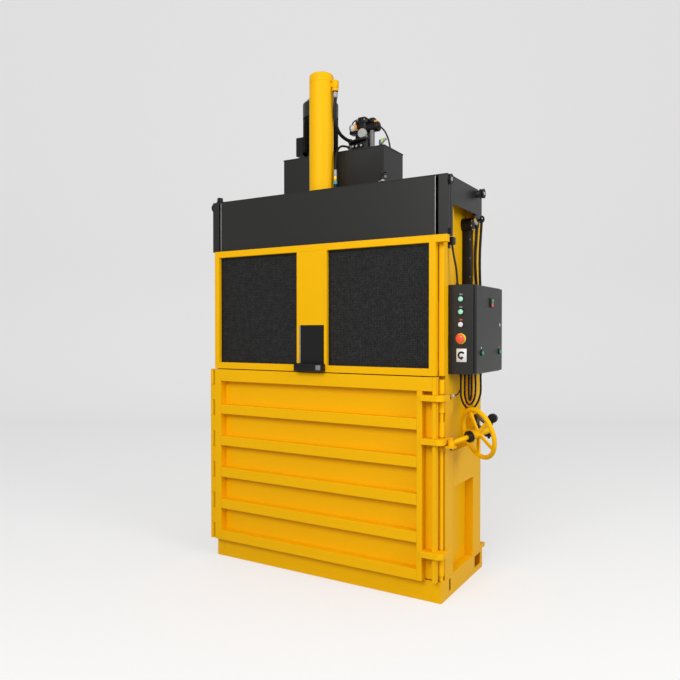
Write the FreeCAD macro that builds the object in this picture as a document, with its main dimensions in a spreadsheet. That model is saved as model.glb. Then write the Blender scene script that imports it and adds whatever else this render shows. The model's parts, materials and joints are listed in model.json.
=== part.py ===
import FreeCAD, Part
import Sketcher
import math
import os
import re

# Vertical cardboard baler: a press that squeezes cardboard into a bale on its own floor.
# Frame: origin on the floor under the middle of the base, +X to the right along the
# front, the front faces -Y, +Z up. All lengths are in millimetres.

SIZES = {
    # base frame
    "base_width": 1700,
    "base_depth": 725,
    "base_height": 125,
    "beam_width": 57,
    "beam_wall": 6,
    "plate": 6,
    "floor_plate": 12,
    "slit_y": -237,
    "slit_width": 25,
    "slit_bottom": 34,
    "slit_height": 74,
    "pocket_y": 212,
    "pocket_width": 116,
    "pocket_bottom": 35,
    "pocket_height": 75,
    "rear_bar": 25,
    "rear_bar_reach": 57,
    # upright frame
    "post_width": 57,
    "post_wall": 6,
    "post_setback": 60,
    "front_post_depth": 129,
    "rear_post_depth": 145,
    "rear_setback": 35,
    "belt_bottom": 644,
    "belt_height": 221,
    # head
    "head_overhang": 35,
    "head_height": 351,
    "head_stand_off": 6,
    "head_side_height": 164,
    "slot_width": 17,
    "corner_channel_width": 56,
    "corner_channel_depth": 88,
    "crosshead_depth": 230,
    "crosshead_front": 12,
    "crosshead_height": 160,
    "crosshead_wall": 12,
    "head_side_back": 165,
    "rear_cover": 3,
    "rear_cover_bottom": 192,
    # main door
    "door_setback": 18,
    "door_front": 51,
    "door_height": 1195,
    "door_gap": 5,
    "skin_recess": 60,
    "left_bar": 54,
    "top_bar": 82,
    "rib_height": 65,
    "rib_pitch": 221,
    "rib_count": 5,
    "lock_margin": 118,
    "lock_bar": 33,
    "right_flange": 20,
    "flange_depth": 48,
    "seal_bar": 25,
    "seal_step": 5,
    "seal_gap": 5,
    # door hinge
    "hinge_radius": 16,
    "hinge_pin_radius": 9,
    "hinge_play": 0.3,
    "knuckle_count": 5,
    "hinge_outset": 17,
    "hinge_inset": 20,
    # feed door
    "gate_gap": 6,
    "gate_height": 814,
    "gate_lap": 1,
    "gate_tube": 40,
    "gate_rail": 43,
    "gate_rail_past": 16,
    "gate_centre": -20,
    "centre_plate": 228,
    "mesh_recess": 28,
    "mesh_thickness": 4,
    "latch_plate": 176,
    "latch_height": 256,
    "handle_width": 212,
    "handle_depth": 45,
    "handle_drop": 4,
    "handle_square": 50,
    "head_gap": 4,
    "guide_width": 33,
    "guide_depth": 60,
    "guide_wall": 5,
    "runner_thickness": 6,
    "runner_low": 30,
    "runner_height": 410,
    "roller_play": 0.3,
    "roller_spacing": 350,
    # door lock on the right
    "lock_radius": 19,
    "lock_top_drop": 17,
    "collar_web": 12,
    "lock_pin_radius": 12,
    "lock_inset": 11,
    "lock_forward": 37.5,
    "lug_thickness": 34,
    "lug_proud": 23.5,
    "lug_past": 43,
    "lug_round": 40,
    "lug_back": 28,
    "lug_play": 6,
    "upper_lug_rise": 1057,
    "middle_lug_rise": 805,
    "lower_lug_rise": 148,
    "collar_gap": 5,
    "collar_foot_gap": 9,
    "collar_foot": 109,
    "collar_lower": 84,
    "collar_upper": 67,
    "lever_play": 6,
    "eye_height": 32,
    "bolt_length": 75,
    "lever_plate": 12,
    "lever_nose": 24,
    "lever_heel": 14,
    "lever_toe": 26,
    "eye_radius": 18,
    "eye_play": 0.3,
    "fork_gap": 8,
    "fork_forward": 20,
    "bolt_radius": 8,
    "spindle_radius": 12,
    "spindle_tail": 98,
    "sleeve_start": 30,
    "sleeve_radius": 14,
    "tail_radius": 20,
    "ring_radius": 33,
    "ring_length": 14,
    "ring_place": 128,
    # handwheel and spindle
    "wheel_diameter": 318,
    "wheel_rim": 27,
    "wheel_spokes": 5,
    "spoke_width": 22,
    "spoke_thickness": 10,
    "hub_radius": 24,
    "hub_front": 50,
    "hub_back": 14,
    "wheel_out": 167,
    "wheel_back": 155,
    "wheel_rise": 45,
    "pin_past": 76,
    "bracket_gap": 56,
    "bracket_plate": 12,
    "bracket_foot_front": 25,
    "bracket_foot_back": 60,
    "bracket_nose": 32,
    "knob_radius": 28,
    "knob_length": 24,
    # power pack and cylinder
    "cylinder_x": -46,
    "cylinder_back": 100.5,
    "cylinder_diameter": 160,
    "cylinder_top": 779,
    "rod_diameter": 90,
    "platen_thickness": 85,
    "platen_clearance": 12,
    "tank_centre_x": -32,
    "tank_centre_y": -4,
    "tank_length": 789,
    "tank_depth": 279,
    "tank_height": 292,
    "tap_width": 36,
    "tap_height": 60,
    "tap_depth": 12,
    "tap_lever": 116,
    "motor_x": -212,
    "motor_y": 0,
    "motor_diameter": 250,
    "motor_height": 427,
    "cowl_taper": 36,
    "motor_fins": 36,
    "motor_core": 106,
    "fin_width": 3,
    "fin_bottom": 55,
    "fin_top": 285,
    "cowl_gap": 6,
    "terminal_reach": 160,
    "terminal_width": 90,
    "terminal_bottom": 36,
    "terminal_height": 130,
    # valves and fittings on the tank and the cylinder
    "manifold_x": 44,
    "manifold_length": 147,
    "manifold_depth": 100,
    "manifold_height": 90,
    "cap_radius": 29,
    "cap_length": 24,
    "cap_drop": 43,
    "valve_inset": 54,
    "valve_width": 70,
    "valve_top": 246,
    "solenoid_radius": 33,
    "solenoid_z": 172,
    "solenoid_left": 50,
    "solenoid_right": 84,
    "elbow_reach": 27,
    "elbow_top": 45,
    "elbow_height": 78,
    "elbow_width": 44,
    "ferrule_radius": 16,
    "ferrule_length": 42,
    "pressure_radius": 11.5,
    "return_radius": 7,
    "pilot_radius": 3.5,
    # lift gear of the feed door
    "pulley_radius": 31,
    "pulley_width": 10,
    "pulley_gap": 3,
    "pulley_clear": 6.5,
    "pulley_drop": 31,
    "drum_forward": 47.5,
    "drum_boss": 20,
    "drum_width": 26,
    "drum_drop": 34,
    "shaft_radius": 10,
    "cable_radius": 2.5,
    "clevis_rise": 33,
    "clevis_drop": 26,
    "clevis_head": 10,
    "drop_channel_gap": 2,
    "drop_channel_start": 60,
    "drop_drum_forward": 20,
    "drop_channel_width": 62,
    "drop_drum_radius": 42,
    "drop_drum_drop": 225,
    "junction_drop": 238,
    "junction_height": 32,
    "junction_depth": 24,
    "junction_length": 38,
    "roller_stand_inset": 12,
    "roller_stand_back": 68.5,
    "roller_stand_width": 56,
    "roller_stand_height": 44,
    # control cabinet
    "cabinet_width": 154,
    "cabinet_door": 17,
    "door_margin": 12,
    "cabinet_back_off": 37.5,
    "cabinet_depth": 506,
    "cabinet_bottom": 1337,
    "cabinet_height": 528,
    "button_out": 79,
    "first_button": 86,
    "button_pitch": 74.5,
    "button_count": 3,
    "button_radius": 15,
    "button_depth": 12,
    "stop_radius": 30,
    "stop_drop": 318,
    "rocker_back": 250,
    "rocker_width": 65,
    "rocker_height": 58,
    "rocker_drop": 72,
    "door_lock_front": 60,
    "lamp_front_in": 98,
    "lamp_rear_in": 69,
    "lamp_rise": 131,
    "lamp_radius": 11,
    "lead_radius": 8.5,
    "wire_radius": 4.5,
    "gland_radius": 9,
    "gland_length": 24,
    "outer_near": 48,
    "outer_far": 90,
    "outer_start": 89,
    "outer_end": 321,
    "outer_drop": 198,
    "middle_near": 55,
    "middle_far": 68,
    "middle_start": 137,
    "middle_end": 287,
    "middle_drop": 172,
    "inner_near": 64,
    "inner_far": 48,
    "inner_start": 181,
    "inner_end": 271,
    "inner_drop": 148,
    "leg_bulge": 5,
    "sensor_gland_out": 28,
    "sensor_gland_back": 139,
    "lead_front_out": 12,
    "lead_front_back": 468,
    "lead_rear_out": 34,
    "lead_rear_back": 475,
    "switch_lead_out": 50,
    "switch_lead_back": 18,
    # position sensors
    "switch_drop": 45,
    "switch_width": 44,
    "switch_height": 46,
    "switch_reach": 40,
    "sensor_out": 16,
    "sensor_rise": 18,
    "sensor_radius": 8,
    "sensor_gap": 7,
    "sensor_length": 133,
}

# Places that follow from the sizes above.
PLACES = {
    "half_width": "base_width / 2",
    "base_front": "-base_depth / 2",
    "base_back": "base_depth / 2",
    "beam_inner": "half_width - beam_width",
    "floor_top": "base_height + floor_plate",
    "wall_outer": "half_width - post_width",
    "wall_inner": "wall_outer - plate",
    "post_front": "base_front + post_setback",
    "post_front_back": "post_front + front_post_depth",
    "rear_post_back": "base_back - rear_setback",
    "rear_post_front": "rear_post_back - rear_post_depth",
    "door_bottom": "base_height + door_gap",
    "door_top": "door_bottom + door_height",
    "front_plane": "base_front - door_front",
    "skin_front": "front_plane + skin_recess",
    "gate_bottom": "door_top + gate_gap",
    "gate_top": "gate_bottom + gate_height",
    "gate_back": "front_plane + gate_tube",
    "head_bottom": "gate_top + head_gap",
    "head_top": "head_bottom + head_height",
    "head_front": "base_front - head_stand_off",
    "deck_bottom": "head_top - plate",
    "head_side_bottom": "head_top - head_side_height",
    "crosshead_bottom": "deck_bottom - crosshead_height",
    "door_half": "half_width - door_setback",
    "head_half_width": "half_width + head_overhang",
    "gate_half": "corner_inner + gate_lap",
    "gate_rail_reach": "head_half_width + gate_rail_past",
    "rib_end": "door_half - lock_margin",
    "hinge_x": "-door_half - hinge_outset - hinge_radius",
    "hinge_y": "front_plane + hinge_inset",
    "lock_x": "half_width - lock_inset",
    "lock_front": "post_front - lock_forward",
    "lock_top": "door_top - lock_top_drop",
    "lug_reach": "lock_x + lug_past",
    "lug_front": "front_plane - lug_proud",
    "lug_inner": "lock_front + lug_back",
    "lower_lug": "door_bottom + lower_lug_rise",
    "middle_lug": "door_bottom + middle_lug_rise",
    "upper_lug": "door_bottom + upper_lug_rise",
    "platen_bottom": "crosshead_bottom - platen_thickness - 60",
    "corner_inner": "head_half_width - corner_channel_width",
    "head_panel_half": "corner_inner - slot_width",
    "corner_back": "head_front + corner_channel_depth",
    "crosshead_y": "head_front + plate + crosshead_front",
    "guide_outer": "corner_inner + guide_width",
    "roller_radius": "guide_depth / 2 - guide_wall - roller_play",
    "lever_low": "middle_lug - lever_play",
    "eye_low": "lever_low + eye_play",
    "eye_middle": "eye_low + eye_height / 2",
    "fork_x": "lug_reach + fork_gap + eye_radius",
    "fork_y": "lock_front - fork_forward",
    "wheel_x": "half_width + wheel_out",
    "wheel_y": "fork_y + wheel_back",
    "wheel_z": "eye_middle + wheel_rise",
    "spindle_run": "sqrt((wheel_x - fork_x) ^ 2 + (wheel_y - fork_y) ^ 2 + wheel_rise ^ 2)",
    "bracket_x": "wheel_x + (wheel_x - fork_x) * pin_past / spindle_run",
    "bracket_y": "wheel_y + (wheel_y - fork_y) * pin_past / spindle_run",
    "bracket_z": "wheel_z + wheel_rise * pin_past / spindle_run",
    "bracket_low": "bracket_z - bracket_gap / 2 - bracket_plate",
    "bracket_high": "bracket_z + bracket_gap / 2",
    "seal_back": "post_front - seal_gap",
    "flange_back": "front_plane + flange_depth",
    "seal_outer": "door_half - right_flange - seal_step",
    "cabinet_side": "half_width + cabinet_width",
    "cabinet_front": "post_front + cabinet_back_off",
    "button_x": "half_width + button_out",
    "stop_z": "cabinet_top - stop_drop",
    "cabinet_top": "cabinet_bottom + cabinet_height",
    "cabinet_back": "cabinet_front + cabinet_depth",
    "gland_end": "cabinet_bottom - gland_length",
    "cylinder_y": "crosshead_y + cylinder_back",
    "valve_x": "manifold_x + valve_inset",
    "pulley_x": "head_half_width + pulley_gap",
    "pulley_y": "gate_back + pulley_clear + pulley_radius",
    "pulley_z": "head_top - pulley_drop",
    "drum_y": "rear_post_front - drum_forward",
    "clevis_z": "gate_top + clevis_rise",
    "drop_channel_y": "rear_post_front - drop_channel_gap - drop_channel_width",
    "drop_drum_z": "head_top - drop_drum_drop",
    "junction_z": "head_top - junction_drop",
    "roller_stand_x": "roller_stand_inset - head_half_width",
    "roller_stand_y": "head_front + roller_stand_back",
    "switch_y": "cabinet_front",
    "switch_z": "gate_top - switch_drop",
    "sensor_x": "half_width + sensor_out",
    "sensor_z": "upper_lug + sensor_rise",
    "sensor_tip": "lug_inner + sensor_gap",
    "sensor_tail": "sensor_tip + sensor_length",
    "drum_z": "head_top - drum_drop",
    "manifold_top": "tank_top + manifold_height",
    "manifold_front": "-manifold_depth / 2",
    "elbow_x": "cylinder_x + cylinder_diameter / 2 + elbow_reach",
    "elbow_z": "cylinder_end - elbow_top",
    "hose_start": "elbow_z - elbow_height - ferrule_length",
    "pressure_z": "tank_top + 84",
    "return_z": "tank_top + 40",
    "return_x": "elbow_x",
    "return_y": "cylinder_y",
    "return_fitting": "3 * plate * 8",
    "tank_top": "head_top + tank_height",
    "cylinder_end": "head_top + cylinder_top",
}

doc = FreeCAD.newDocument("cardboard_baler")
sheet = doc.addObject("Spreadsheet::Sheet", "Sizes")
for row, (alias, number) in enumerate(SIZES.items(), start=1):
    sheet.set(f"A{row}", alias)
    sheet.set(f"B{row}", str(number))
    sheet.setAlias(f"B{row}", alias)
doc.recompute()

pieces = []

# The lug plates on the door's lock side: a name and the height of the plate's underside.
LUG_LEVELS = (("upper", "upper_lug"), ("middle", "middle_lug"), ("lower", "lower_lug"))


def formula(text):
    """Spells a formula with the sheet's own names, opening up every place word."""
    def spell(match):
        word = match.group(0)
        if word in PLACES:
            return "(" + formula(PLACES[word]) + ")"
        if word in SIZES:
            return "Sizes." + word
        return word
    return re.sub(r"[A-Za-z_]\w*", spell, str(text))


def measure(text):
    """The number that a formula stands for, read from the sheet."""
    return float(sheet.evalExpression(formula(text)))


def bind(item, **formulas):
    """Ties properties of an object to formulas."""
    for name, text in formulas.items():
        item.setExpression(name, formula(text))
    return item


def put(item, x, y, z):
    """Ties the place of an object to three formulas."""
    for axis, text in zip("xyz", (x, y, z)):
        item.setExpression(f"Placement.Base.{axis}", formula(text))
    return item


def keep(item, node):
    """Names a finished sub-part, which is written to its own file."""
    item.Label = node
    pieces.append(item)
    return item


def block(name, x, y, z):
    """A block between two planes on each axis: x, y and z are (low, high) formulas."""
    item = doc.addObject("Part::Box", name)
    bind(item, Length=f"({x[1]}) - ({x[0]})", Width=f"({y[1]}) - ({y[0]})",
         Height=f"({z[1]}) - ({z[0]})")
    return put(item, x[0], y[0], z[0])


TURNS = {
    "x": FreeCAD.Rotation(FreeCAD.Vector(0, 1, 0), 90),
    "y": FreeCAD.Rotation(FreeCAD.Vector(1, 0, 0), -90),
    "z": FreeCAD.Rotation(),
}


def round_bar(name, axis, x, y, z, radius, length):
    """A round bar that starts at x, y, z and runs along an axis."""
    item = doc.addObject("Part::Cylinder", name)
    item.Placement = FreeCAD.Placement(FreeCAD.Vector(), TURNS[axis])
    bind(item, Radius=radius, Height=length)
    return put(item, x, y, z)


def joined(name, *items):
    """One solid from several that overlap or touch."""
    item = doc.addObject("Part::MultiFuse", name)
    item.Shapes = list(items)
    item.Refine = True
    return item


def group(name, *items):
    """Several separate solids in one node."""
    item = doc.addObject("Part::Compound", name)
    item.Links = list(items)
    return item


def less(name, base, *tools):
    """A solid with other solids cut away."""
    tool = tools[0] if len(tools) == 1 else joined(name + "_tools", *tools)
    item = doc.addObject("Part::Cut", name)
    item.Base = base
    item.Tool = tool
    return item


def plane_of(body, role):
    """The origin plane of a body, found by its role."""
    return [part for part in body.Origin.OriginFeatures if part.Role == role][0]


def axis_of(body, role):
    """The origin axis of a body, found by its role."""
    return plane_of(body, role)


def outline(body, name, role, corners):
    """A closed sketch of straight sides whose corners are formulas from the origin."""
    sketch = body.newObject("Sketcher::SketchObject", name)
    sketch.AttachmentSupport = [(plane_of(body, role), "")]
    sketch.MapMode = "FlatFace"
    spots = [(measure(u), measure(v)) for u, v in corners]
    count = len(spots)
    for index in range(count):
        start = FreeCAD.Vector(*spots[index], 0)
        end = FreeCAD.Vector(*spots[(index + 1) % count], 0)
        sketch.addGeometry(Part.LineSegment(start, end), False)
    for index in range(count):
        sketch.addConstraint(Sketcher.Constraint("Coincident", index, 2, (index + 1) % count, 1))
    for index, corner in enumerate(corners):
        for kind, text, spot in zip(("DistanceX", "DistanceY"), corner, spots[index]):
            number = sketch.addConstraint(Sketcher.Constraint(kind, -1, 1, index, 1, spot))
            sketch.setExpression(f"Constraints[{number}]", formula(text))
    return sketch


def ring(sketch, radius, x="0", y="0"):
    """Adds a full circle to a sketch."""
    where = FreeCAD.Vector(measure(x), measure(y), 0)
    shape = Part.Circle(where, FreeCAD.Vector(0, 0, 1), measure(radius))
    index = sketch.addGeometry(shape, False)
    number = sketch.addConstraint(Sketcher.Constraint("Radius", index, measure(radius)))
    sketch.setExpression(f"Constraints[{number}]", formula(radius))
    for kind, text in (("DistanceX", x), ("DistanceY", y)):
        number = sketch.addConstraint(Sketcher.Constraint(kind, -1, 1, index, 3, measure(text)))
        sketch.setExpression(f"Constraints[{number}]", formula(text))
    return sketch


def empty_sketch(body, name, role):
    """A sketch on an origin plane of its body."""
    sketch = body.newObject("Sketcher::SketchObject", name)
    sketch.AttachmentSupport = [(plane_of(body, role), "")]
    sketch.MapMode = "FlatFace"
    return sketch


def mirrored(sign, near, far):
    """A (low, high) pair on the side that sign (1 or -1) stands for."""
    return sorted((f"{sign} * ({near})", f"{sign} * ({far})"), key=measure)


SIDES = (("left", -1), ("right", 1))


def base_frame():
    """Two hollow side beams, tied at the front and rear, with the floor on top."""
    beams = []
    for side, sign in SIDES:
        low, high = mirrored(sign, "beam_inner", "half_width")
        solid = block(f"beam_{side}", (low, high), ("base_front", "base_back"), ("0", "base_height"))
        tail = block(f"beam_tail_{side}", (low, high),
                     ("rear_post_back", "base_back + rear_bar_reach"),
                     ("base_height", "base_height + rear_bar"))
        inside = (f"{low} + beam_wall", f"{high} - beam_wall")
        hollow = block(f"beam_hollow_{side}", inside,
                       ("base_front + beam_wall", "base_back - beam_wall"),
                       ("beam_wall", "base_height - beam_wall"))
        pit = block(f"beam_pit_{side}", inside, ("base_front + beam_wall", "post_front - beam_wall"),
                    ("base_height / 2", "base_height + 1"))
        outer = mirrored(sign, "half_width - 2 * beam_wall", "half_width + 1")
        slit = block(f"beam_slit_{side}", outer, ("slit_y", "slit_y + slit_width"),
                     ("slit_bottom", "slit_bottom + slit_height"))
        pocket = block(f"beam_pocket_{side}", outer, ("pocket_y", "pocket_y + pocket_width"),
                       ("pocket_bottom", "pocket_bottom + pocket_height"))
        beams.append(less(f"beam_cut_{side}", joined(f"beam_blank_{side}", solid, tail),
                          hollow, pit, slit, pocket))
    keep(group("side_beams", *beams), "base_side_beams")
    ties = []
    for name, near, far in (("front", "base_front", "base_front + floor_plate"),
                            ("middle", "-beam_width", "beam_width"),
                            ("rear", "base_back - floor_plate", "base_back")):
        ties.append(block(f"base_tie_{name}", ("-beam_inner", "beam_inner"), (near, far),
                          ("0", "base_height")))
    keep(group("base_ties", *ties), "base_cross_members")
    keep(block("floor", ("-wall_outer", "wall_outer"), ("post_front", "rear_post_back"),
               ("base_height", "floor_top")), "chamber_floor")


def upright_frame():
    """Hollow posts with side walls let in between them, and the rear wall."""
    posts, walls, belts = {"front": [], "rear": []}, [], []
    for side, sign in SIDES:
        low, high = mirrored(sign, "wall_outer", "half_width")
        for spot, near, far in (("front", "post_front", "post_front_back"),
                                ("rear", "rear_post_front", "rear_post_back")):
            name = f"{spot}_{side}"
            solid = block(f"post_{name}", (low, high), (near, far), ("base_height", "deck_bottom"))
            hollow = block(f"post_hollow_{name}", (f"{low} + post_wall", f"{high} - post_wall"),
                           (f"{near} + post_wall", f"{far} - post_wall"),
                           ("base_height - 1", "deck_bottom + 1"))
            posts[spot].append(less(f"post_cut_{name}", solid, hollow))
        belts.append(block(f"belt_{side}", (low, high), ("post_front_back", "rear_post_front"),
                           ("belt_bottom", "belt_bottom + belt_height")))
        walls.append(block(f"wall_{side}", mirrored(sign, "wall_inner", "wall_outer"),
                           ("post_front", "rear_post_back"), ("floor_top", "deck_bottom")))
    keep(group("front_post_pair", *posts["front"]), "front_posts")
    keep(group("rear_post_pair", *posts["rear"]), "rear_posts")
    keep(group("side_wall_pair", *walls), "side_walls")
    keep(group("belt_pair", *belts), "side_belts")
    keep(block("back_wall", ("-wall_inner", "wall_inner"), ("rear_post_back - plate", "rear_post_back"),
               ("floor_top", "deck_bottom")), "rear_wall")


def head():
    """The dark housing at the top, its corner channels and the crosshead inside."""
    wide = block("deck_wide", ("-head_half_width", "head_half_width"),
                 ("head_front", "head_side_back"), ("deck_bottom", "head_top"))
    narrow = block("deck_narrow", ("-half_width", "half_width"),
                   ("head_side_back", "rear_post_back"), ("deck_bottom", "head_top"))
    deck = joined("deck_plate", wide, narrow)
    hole = round_bar("deck_hole", "z", "cylinder_x", "cylinder_y", "deck_bottom - 1",
                     "cylinder_diameter / 2", "plate + 2")
    keep(less("deck", deck, hole), "head_deck")
    panels = [block("front_panel", ("-head_panel_half", "head_panel_half"),
                    ("head_front", "head_front + plate"), ("head_bottom", "deck_bottom"))]
    channels = []
    for side, sign in SIDES:
        skin = block(f"head_side_plate_{side}",
                     mirrored(sign, "head_half_width - plate", "head_half_width"),
                     ("corner_back", "head_side_back"), ("head_side_bottom", "deck_bottom"))
        end = block(f"head_end_plate_{side}", mirrored(sign, "half_width", "head_half_width"),
                    ("head_side_back - plate", "head_side_back"),
                    ("head_side_bottom", "deck_bottom"))
        cover = block(f"rear_cover_{side}",
                      mirrored(sign, "half_width", "half_width + rear_cover"),
                      ("head_side_back - plate", "rear_post_back"),
                      ("head_top - rear_cover_bottom", "deck_bottom"))
        panels.append(joined(f"head_side_{side}", skin, end, cover))
        solid = block(f"corner_{side}", mirrored(sign, "corner_inner", "head_half_width"),
                      ("head_front", "corner_back"), ("head_bottom", "deck_bottom"))
        slot = block(f"corner_slot_{side}",
                     mirrored(sign, "corner_inner - 1", "head_half_width - plate"),
                     ("head_front + plate", "corner_back - plate"),
                     ("head_bottom - 1", "deck_bottom + 1"))
        post = block(f"corner_post_{side}", mirrored(sign, "half_width", "wall_outer"),
                     ("post_front", "post_front_back"), ("head_bottom - 1", "deck_bottom + 1"))
        channels.append(less(f"corner_cut_{side}", solid, slot, post))
    keep(group("head_panel_set", *panels), "head_panels")
    keep(group("corner_pair", *channels), "corner_channels")
    guides = []
    for side, sign in SIDES:
        solid = block(f"guide_{side}", mirrored(sign, "corner_inner", "guide_outer"),
                      ("base_front", "base_front + guide_depth"), ("gate_bottom", "head_bottom"))
        slot = block(f"guide_slot_{side}",
                     mirrored(sign, "corner_inner - 1", "guide_outer - guide_wall"),
                     ("base_front + guide_wall", "base_front + guide_depth - guide_wall"),
                     ("gate_bottom - 1", "head_bottom + 1"))
        guides.append(less(f"guide_cut_{side}", solid, slot))
    keep(group("guide_pair", *guides), "gate_guides")
    near, far = "crosshead_y", "crosshead_y + crosshead_depth"
    beam = block("crosshead_block", ("-wall_inner", "wall_inner"), (near, far),
                 ("crosshead_bottom", "deck_bottom"))
    hollow = block("crosshead_hollow",
                   ("-wall_inner + crosshead_wall", "wall_inner - crosshead_wall"),
                   (f"{near} + crosshead_wall", f"{far} - crosshead_wall"),
                   ("crosshead_bottom + crosshead_wall", "deck_bottom - crosshead_wall"))
    bore = round_bar("crosshead_bore", "z", "cylinder_x", "cylinder_y", "crosshead_bottom - 1",
                     "cylinder_diameter / 2", "crosshead_height + 2")
    keep(less("crosshead_cut", beam, hollow, bore), "crosshead")


def main_door():
    """The lower door: a sheet stiffened by ribs, with bars and deep side flanges."""
    sheet_half = ("-door_half + left_bar", "door_half - right_flange")
    keep(block("skin_sheet", sheet_half, ("skin_front", "skin_front + plate"),
               ("door_bottom", "door_top - top_bar")), "door_skin")
    body = doc.addObject("PartDesign::Body", "rib_body")
    sketch = outline(body, "rib_profile", "YZ_Plane", [
        ("skin_front", "door_bottom + plate"),
        ("front_plane + plate", "door_bottom + plate"),
        ("front_plane + plate", "door_bottom + rib_height - plate"),
        ("skin_front", "door_bottom + rib_height - plate"),
        ("skin_front", "door_bottom + rib_height"),
        ("front_plane", "door_bottom + rib_height"),
        ("front_plane", "door_bottom"),
        ("skin_front", "door_bottom"),
    ])
    pad = body.newObject("PartDesign::Pad", "rib_pad")
    pad.Profile = sketch
    bind(pad, Length="rib_end + door_half - left_bar")
    body.setExpression("Placement.Base.x", formula("-door_half + left_bar"))
    pattern = body.newObject("PartDesign::LinearPattern", "rib_rows")
    pattern.Originals = [pad]
    pattern.Direction = (axis_of(body, "Z_Axis"), [""])
    bind(pattern, Length="rib_pitch * (rib_count - 1)", Occurrences="rib_count")
    body.Tip = pattern
    keep(body, "door_ribs")
    flange = block("right_edge", ("door_half - right_flange", "door_half"),
                   ("front_plane", "flange_back"), ("door_bottom", "door_top"))
    gaps = [block(f"flange_gap_{name}", ("door_half - right_flange - 1", "door_half + 1"),
                  ("front_plane - 1", "flange_back + 1"), (level, f"{level} + lug_thickness"))
            for name, level in LUG_LEVELS]
    bars = [
        block("left_edge", ("-door_half", "-door_half + left_bar"), ("front_plane", "seal_back"),
              ("door_bottom", "door_top")),
        block("lock_edge", ("rib_end", "rib_end + lock_bar"), ("front_plane", "skin_front"),
              ("door_bottom", "door_top - top_bar")),
        block("seal_edge", ("seal_outer - seal_bar", "seal_outer"),
              ("skin_front + plate", "seal_back"), ("door_bottom", "door_top - top_bar")),
        less("flange_cut", flange, *gaps),
    ]
    keep(group("door_bars", *bars), "door_upright_bars")
    keep(block("top_edge", sheet_half, ("front_plane", "seal_back"),
               ("door_top - top_bar", "door_top")), "door_top_bar")


def door_lugs():
    """Lug plates on the door, each with an open-backed slot that seats round the lock pin."""
    lugs = []
    for name, level in LUG_LEVELS:
        body = doc.addObject("PartDesign::Body", f"lug_body_{name}")
        sketch = outline(body, f"lug_plan_{name}", "XY_Plane", [
            ("rib_end + lock_bar", "lug_front"), ("lug_reach", "lug_front"),
            ("lug_reach", "lug_inner"), ("lock_x + lock_pin_radius + lug_play", "lug_inner"),
            ("lock_x + lock_pin_radius + lug_play", "lock_front - lock_pin_radius - lug_play"),
            ("door_half - right_flange", "lock_front - lock_pin_radius - lug_play"),
            ("door_half - right_flange", "skin_front"), ("rib_end + lock_bar", "skin_front"),
        ])
        pad = body.newObject("PartDesign::Pad", f"lug_pad_{name}")
        pad.Profile = sketch
        bind(pad, Length="lug_thickness")
        doc.recompute()
        corner = edge_at(pad.Shape, measure("lug_reach"), measure("lug_front"))
        rounding = body.newObject("PartDesign::Fillet", f"lug_round_{name}")
        rounding.Base = (pad, [corner])
        bind(rounding, Radius="lug_round")
        body.Tip = rounding
        put(body, "0", "0", level)
        lugs.append(body)
    keep(group("lugs", *lugs), "door_lugs")


def edge_at(shape, x, y):
    """The name of the upright edge that stands at x, y."""
    for number, edge in enumerate(shape.Edges, start=1):
        middle = edge.CenterOfMass
        upright = edge.BoundBox.XLength < 0.01 and edge.BoundBox.YLength < 0.01
        if upright and abs(middle.x - x) < 0.01 and abs(middle.y - y) < 0.01:
            return f"Edge{number}"
    raise RuntimeError("no edge there")


def hinge():
    """Knuckles in turn on the frame and on the door, round one long pin."""
    knuckle = "door_height / (2 * knuckle_count + 1)"
    count = int(measure("knuckle_count"))
    frame_side, door_side = [], []
    for index in range(2 * count + 1):
        on_door = index % 2 == 1
        name = f"knuckle_{index}"
        low = f"door_bottom + {index} * {knuckle} + hinge_play"
        tube = round_bar(name, "z", "hinge_x", "hinge_y", low, "hinge_radius",
                         f"{knuckle} - 2 * hinge_play")
        if on_door:
            leaf = block(f"leaf_{index}", ("hinge_x", "-door_half"),
                         ("hinge_y - hinge_radius", "hinge_y - hinge_radius + plate"),
                         (low, f"{low} + {knuckle} - 2 * hinge_play"))
        else:
            leaf = block(f"leaf_{index}", ("hinge_x - plate / 2", "hinge_x + plate / 2"),
                         ("hinge_y", "post_front"),
                         (low, f"{low} + {knuckle} - 2 * hinge_play"))
        bore = round_bar(f"bore_{index}", "z", "hinge_x", "hinge_y", f"{low} - 1",
                         "hinge_pin_radius + hinge_play", f"{knuckle} + 2")
        done = less(f"knuckle_cut_{index}", joined(f"knuckle_blank_{index}", tube, leaf), bore)
        (door_side if on_door else frame_side).append(done)
    keep(group("frame_knuckles", *frame_side), "hinge_knuckles_frame")
    keep(group("door_knuckles", *door_side), "hinge_knuckles_door")
    keep(round_bar("pin", "z", "hinge_x", "hinge_y", "door_bottom + hinge_play", "hinge_pin_radius",
                   "door_height - 2 * hinge_play"), "hinge_pin")
    keep(block("hinge_post", ("hinge_x - plate / 2", "-half_width"), ("post_front", "post_front_back"),
               ("door_bottom", "door_top")), "hinge_mount")


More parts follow.
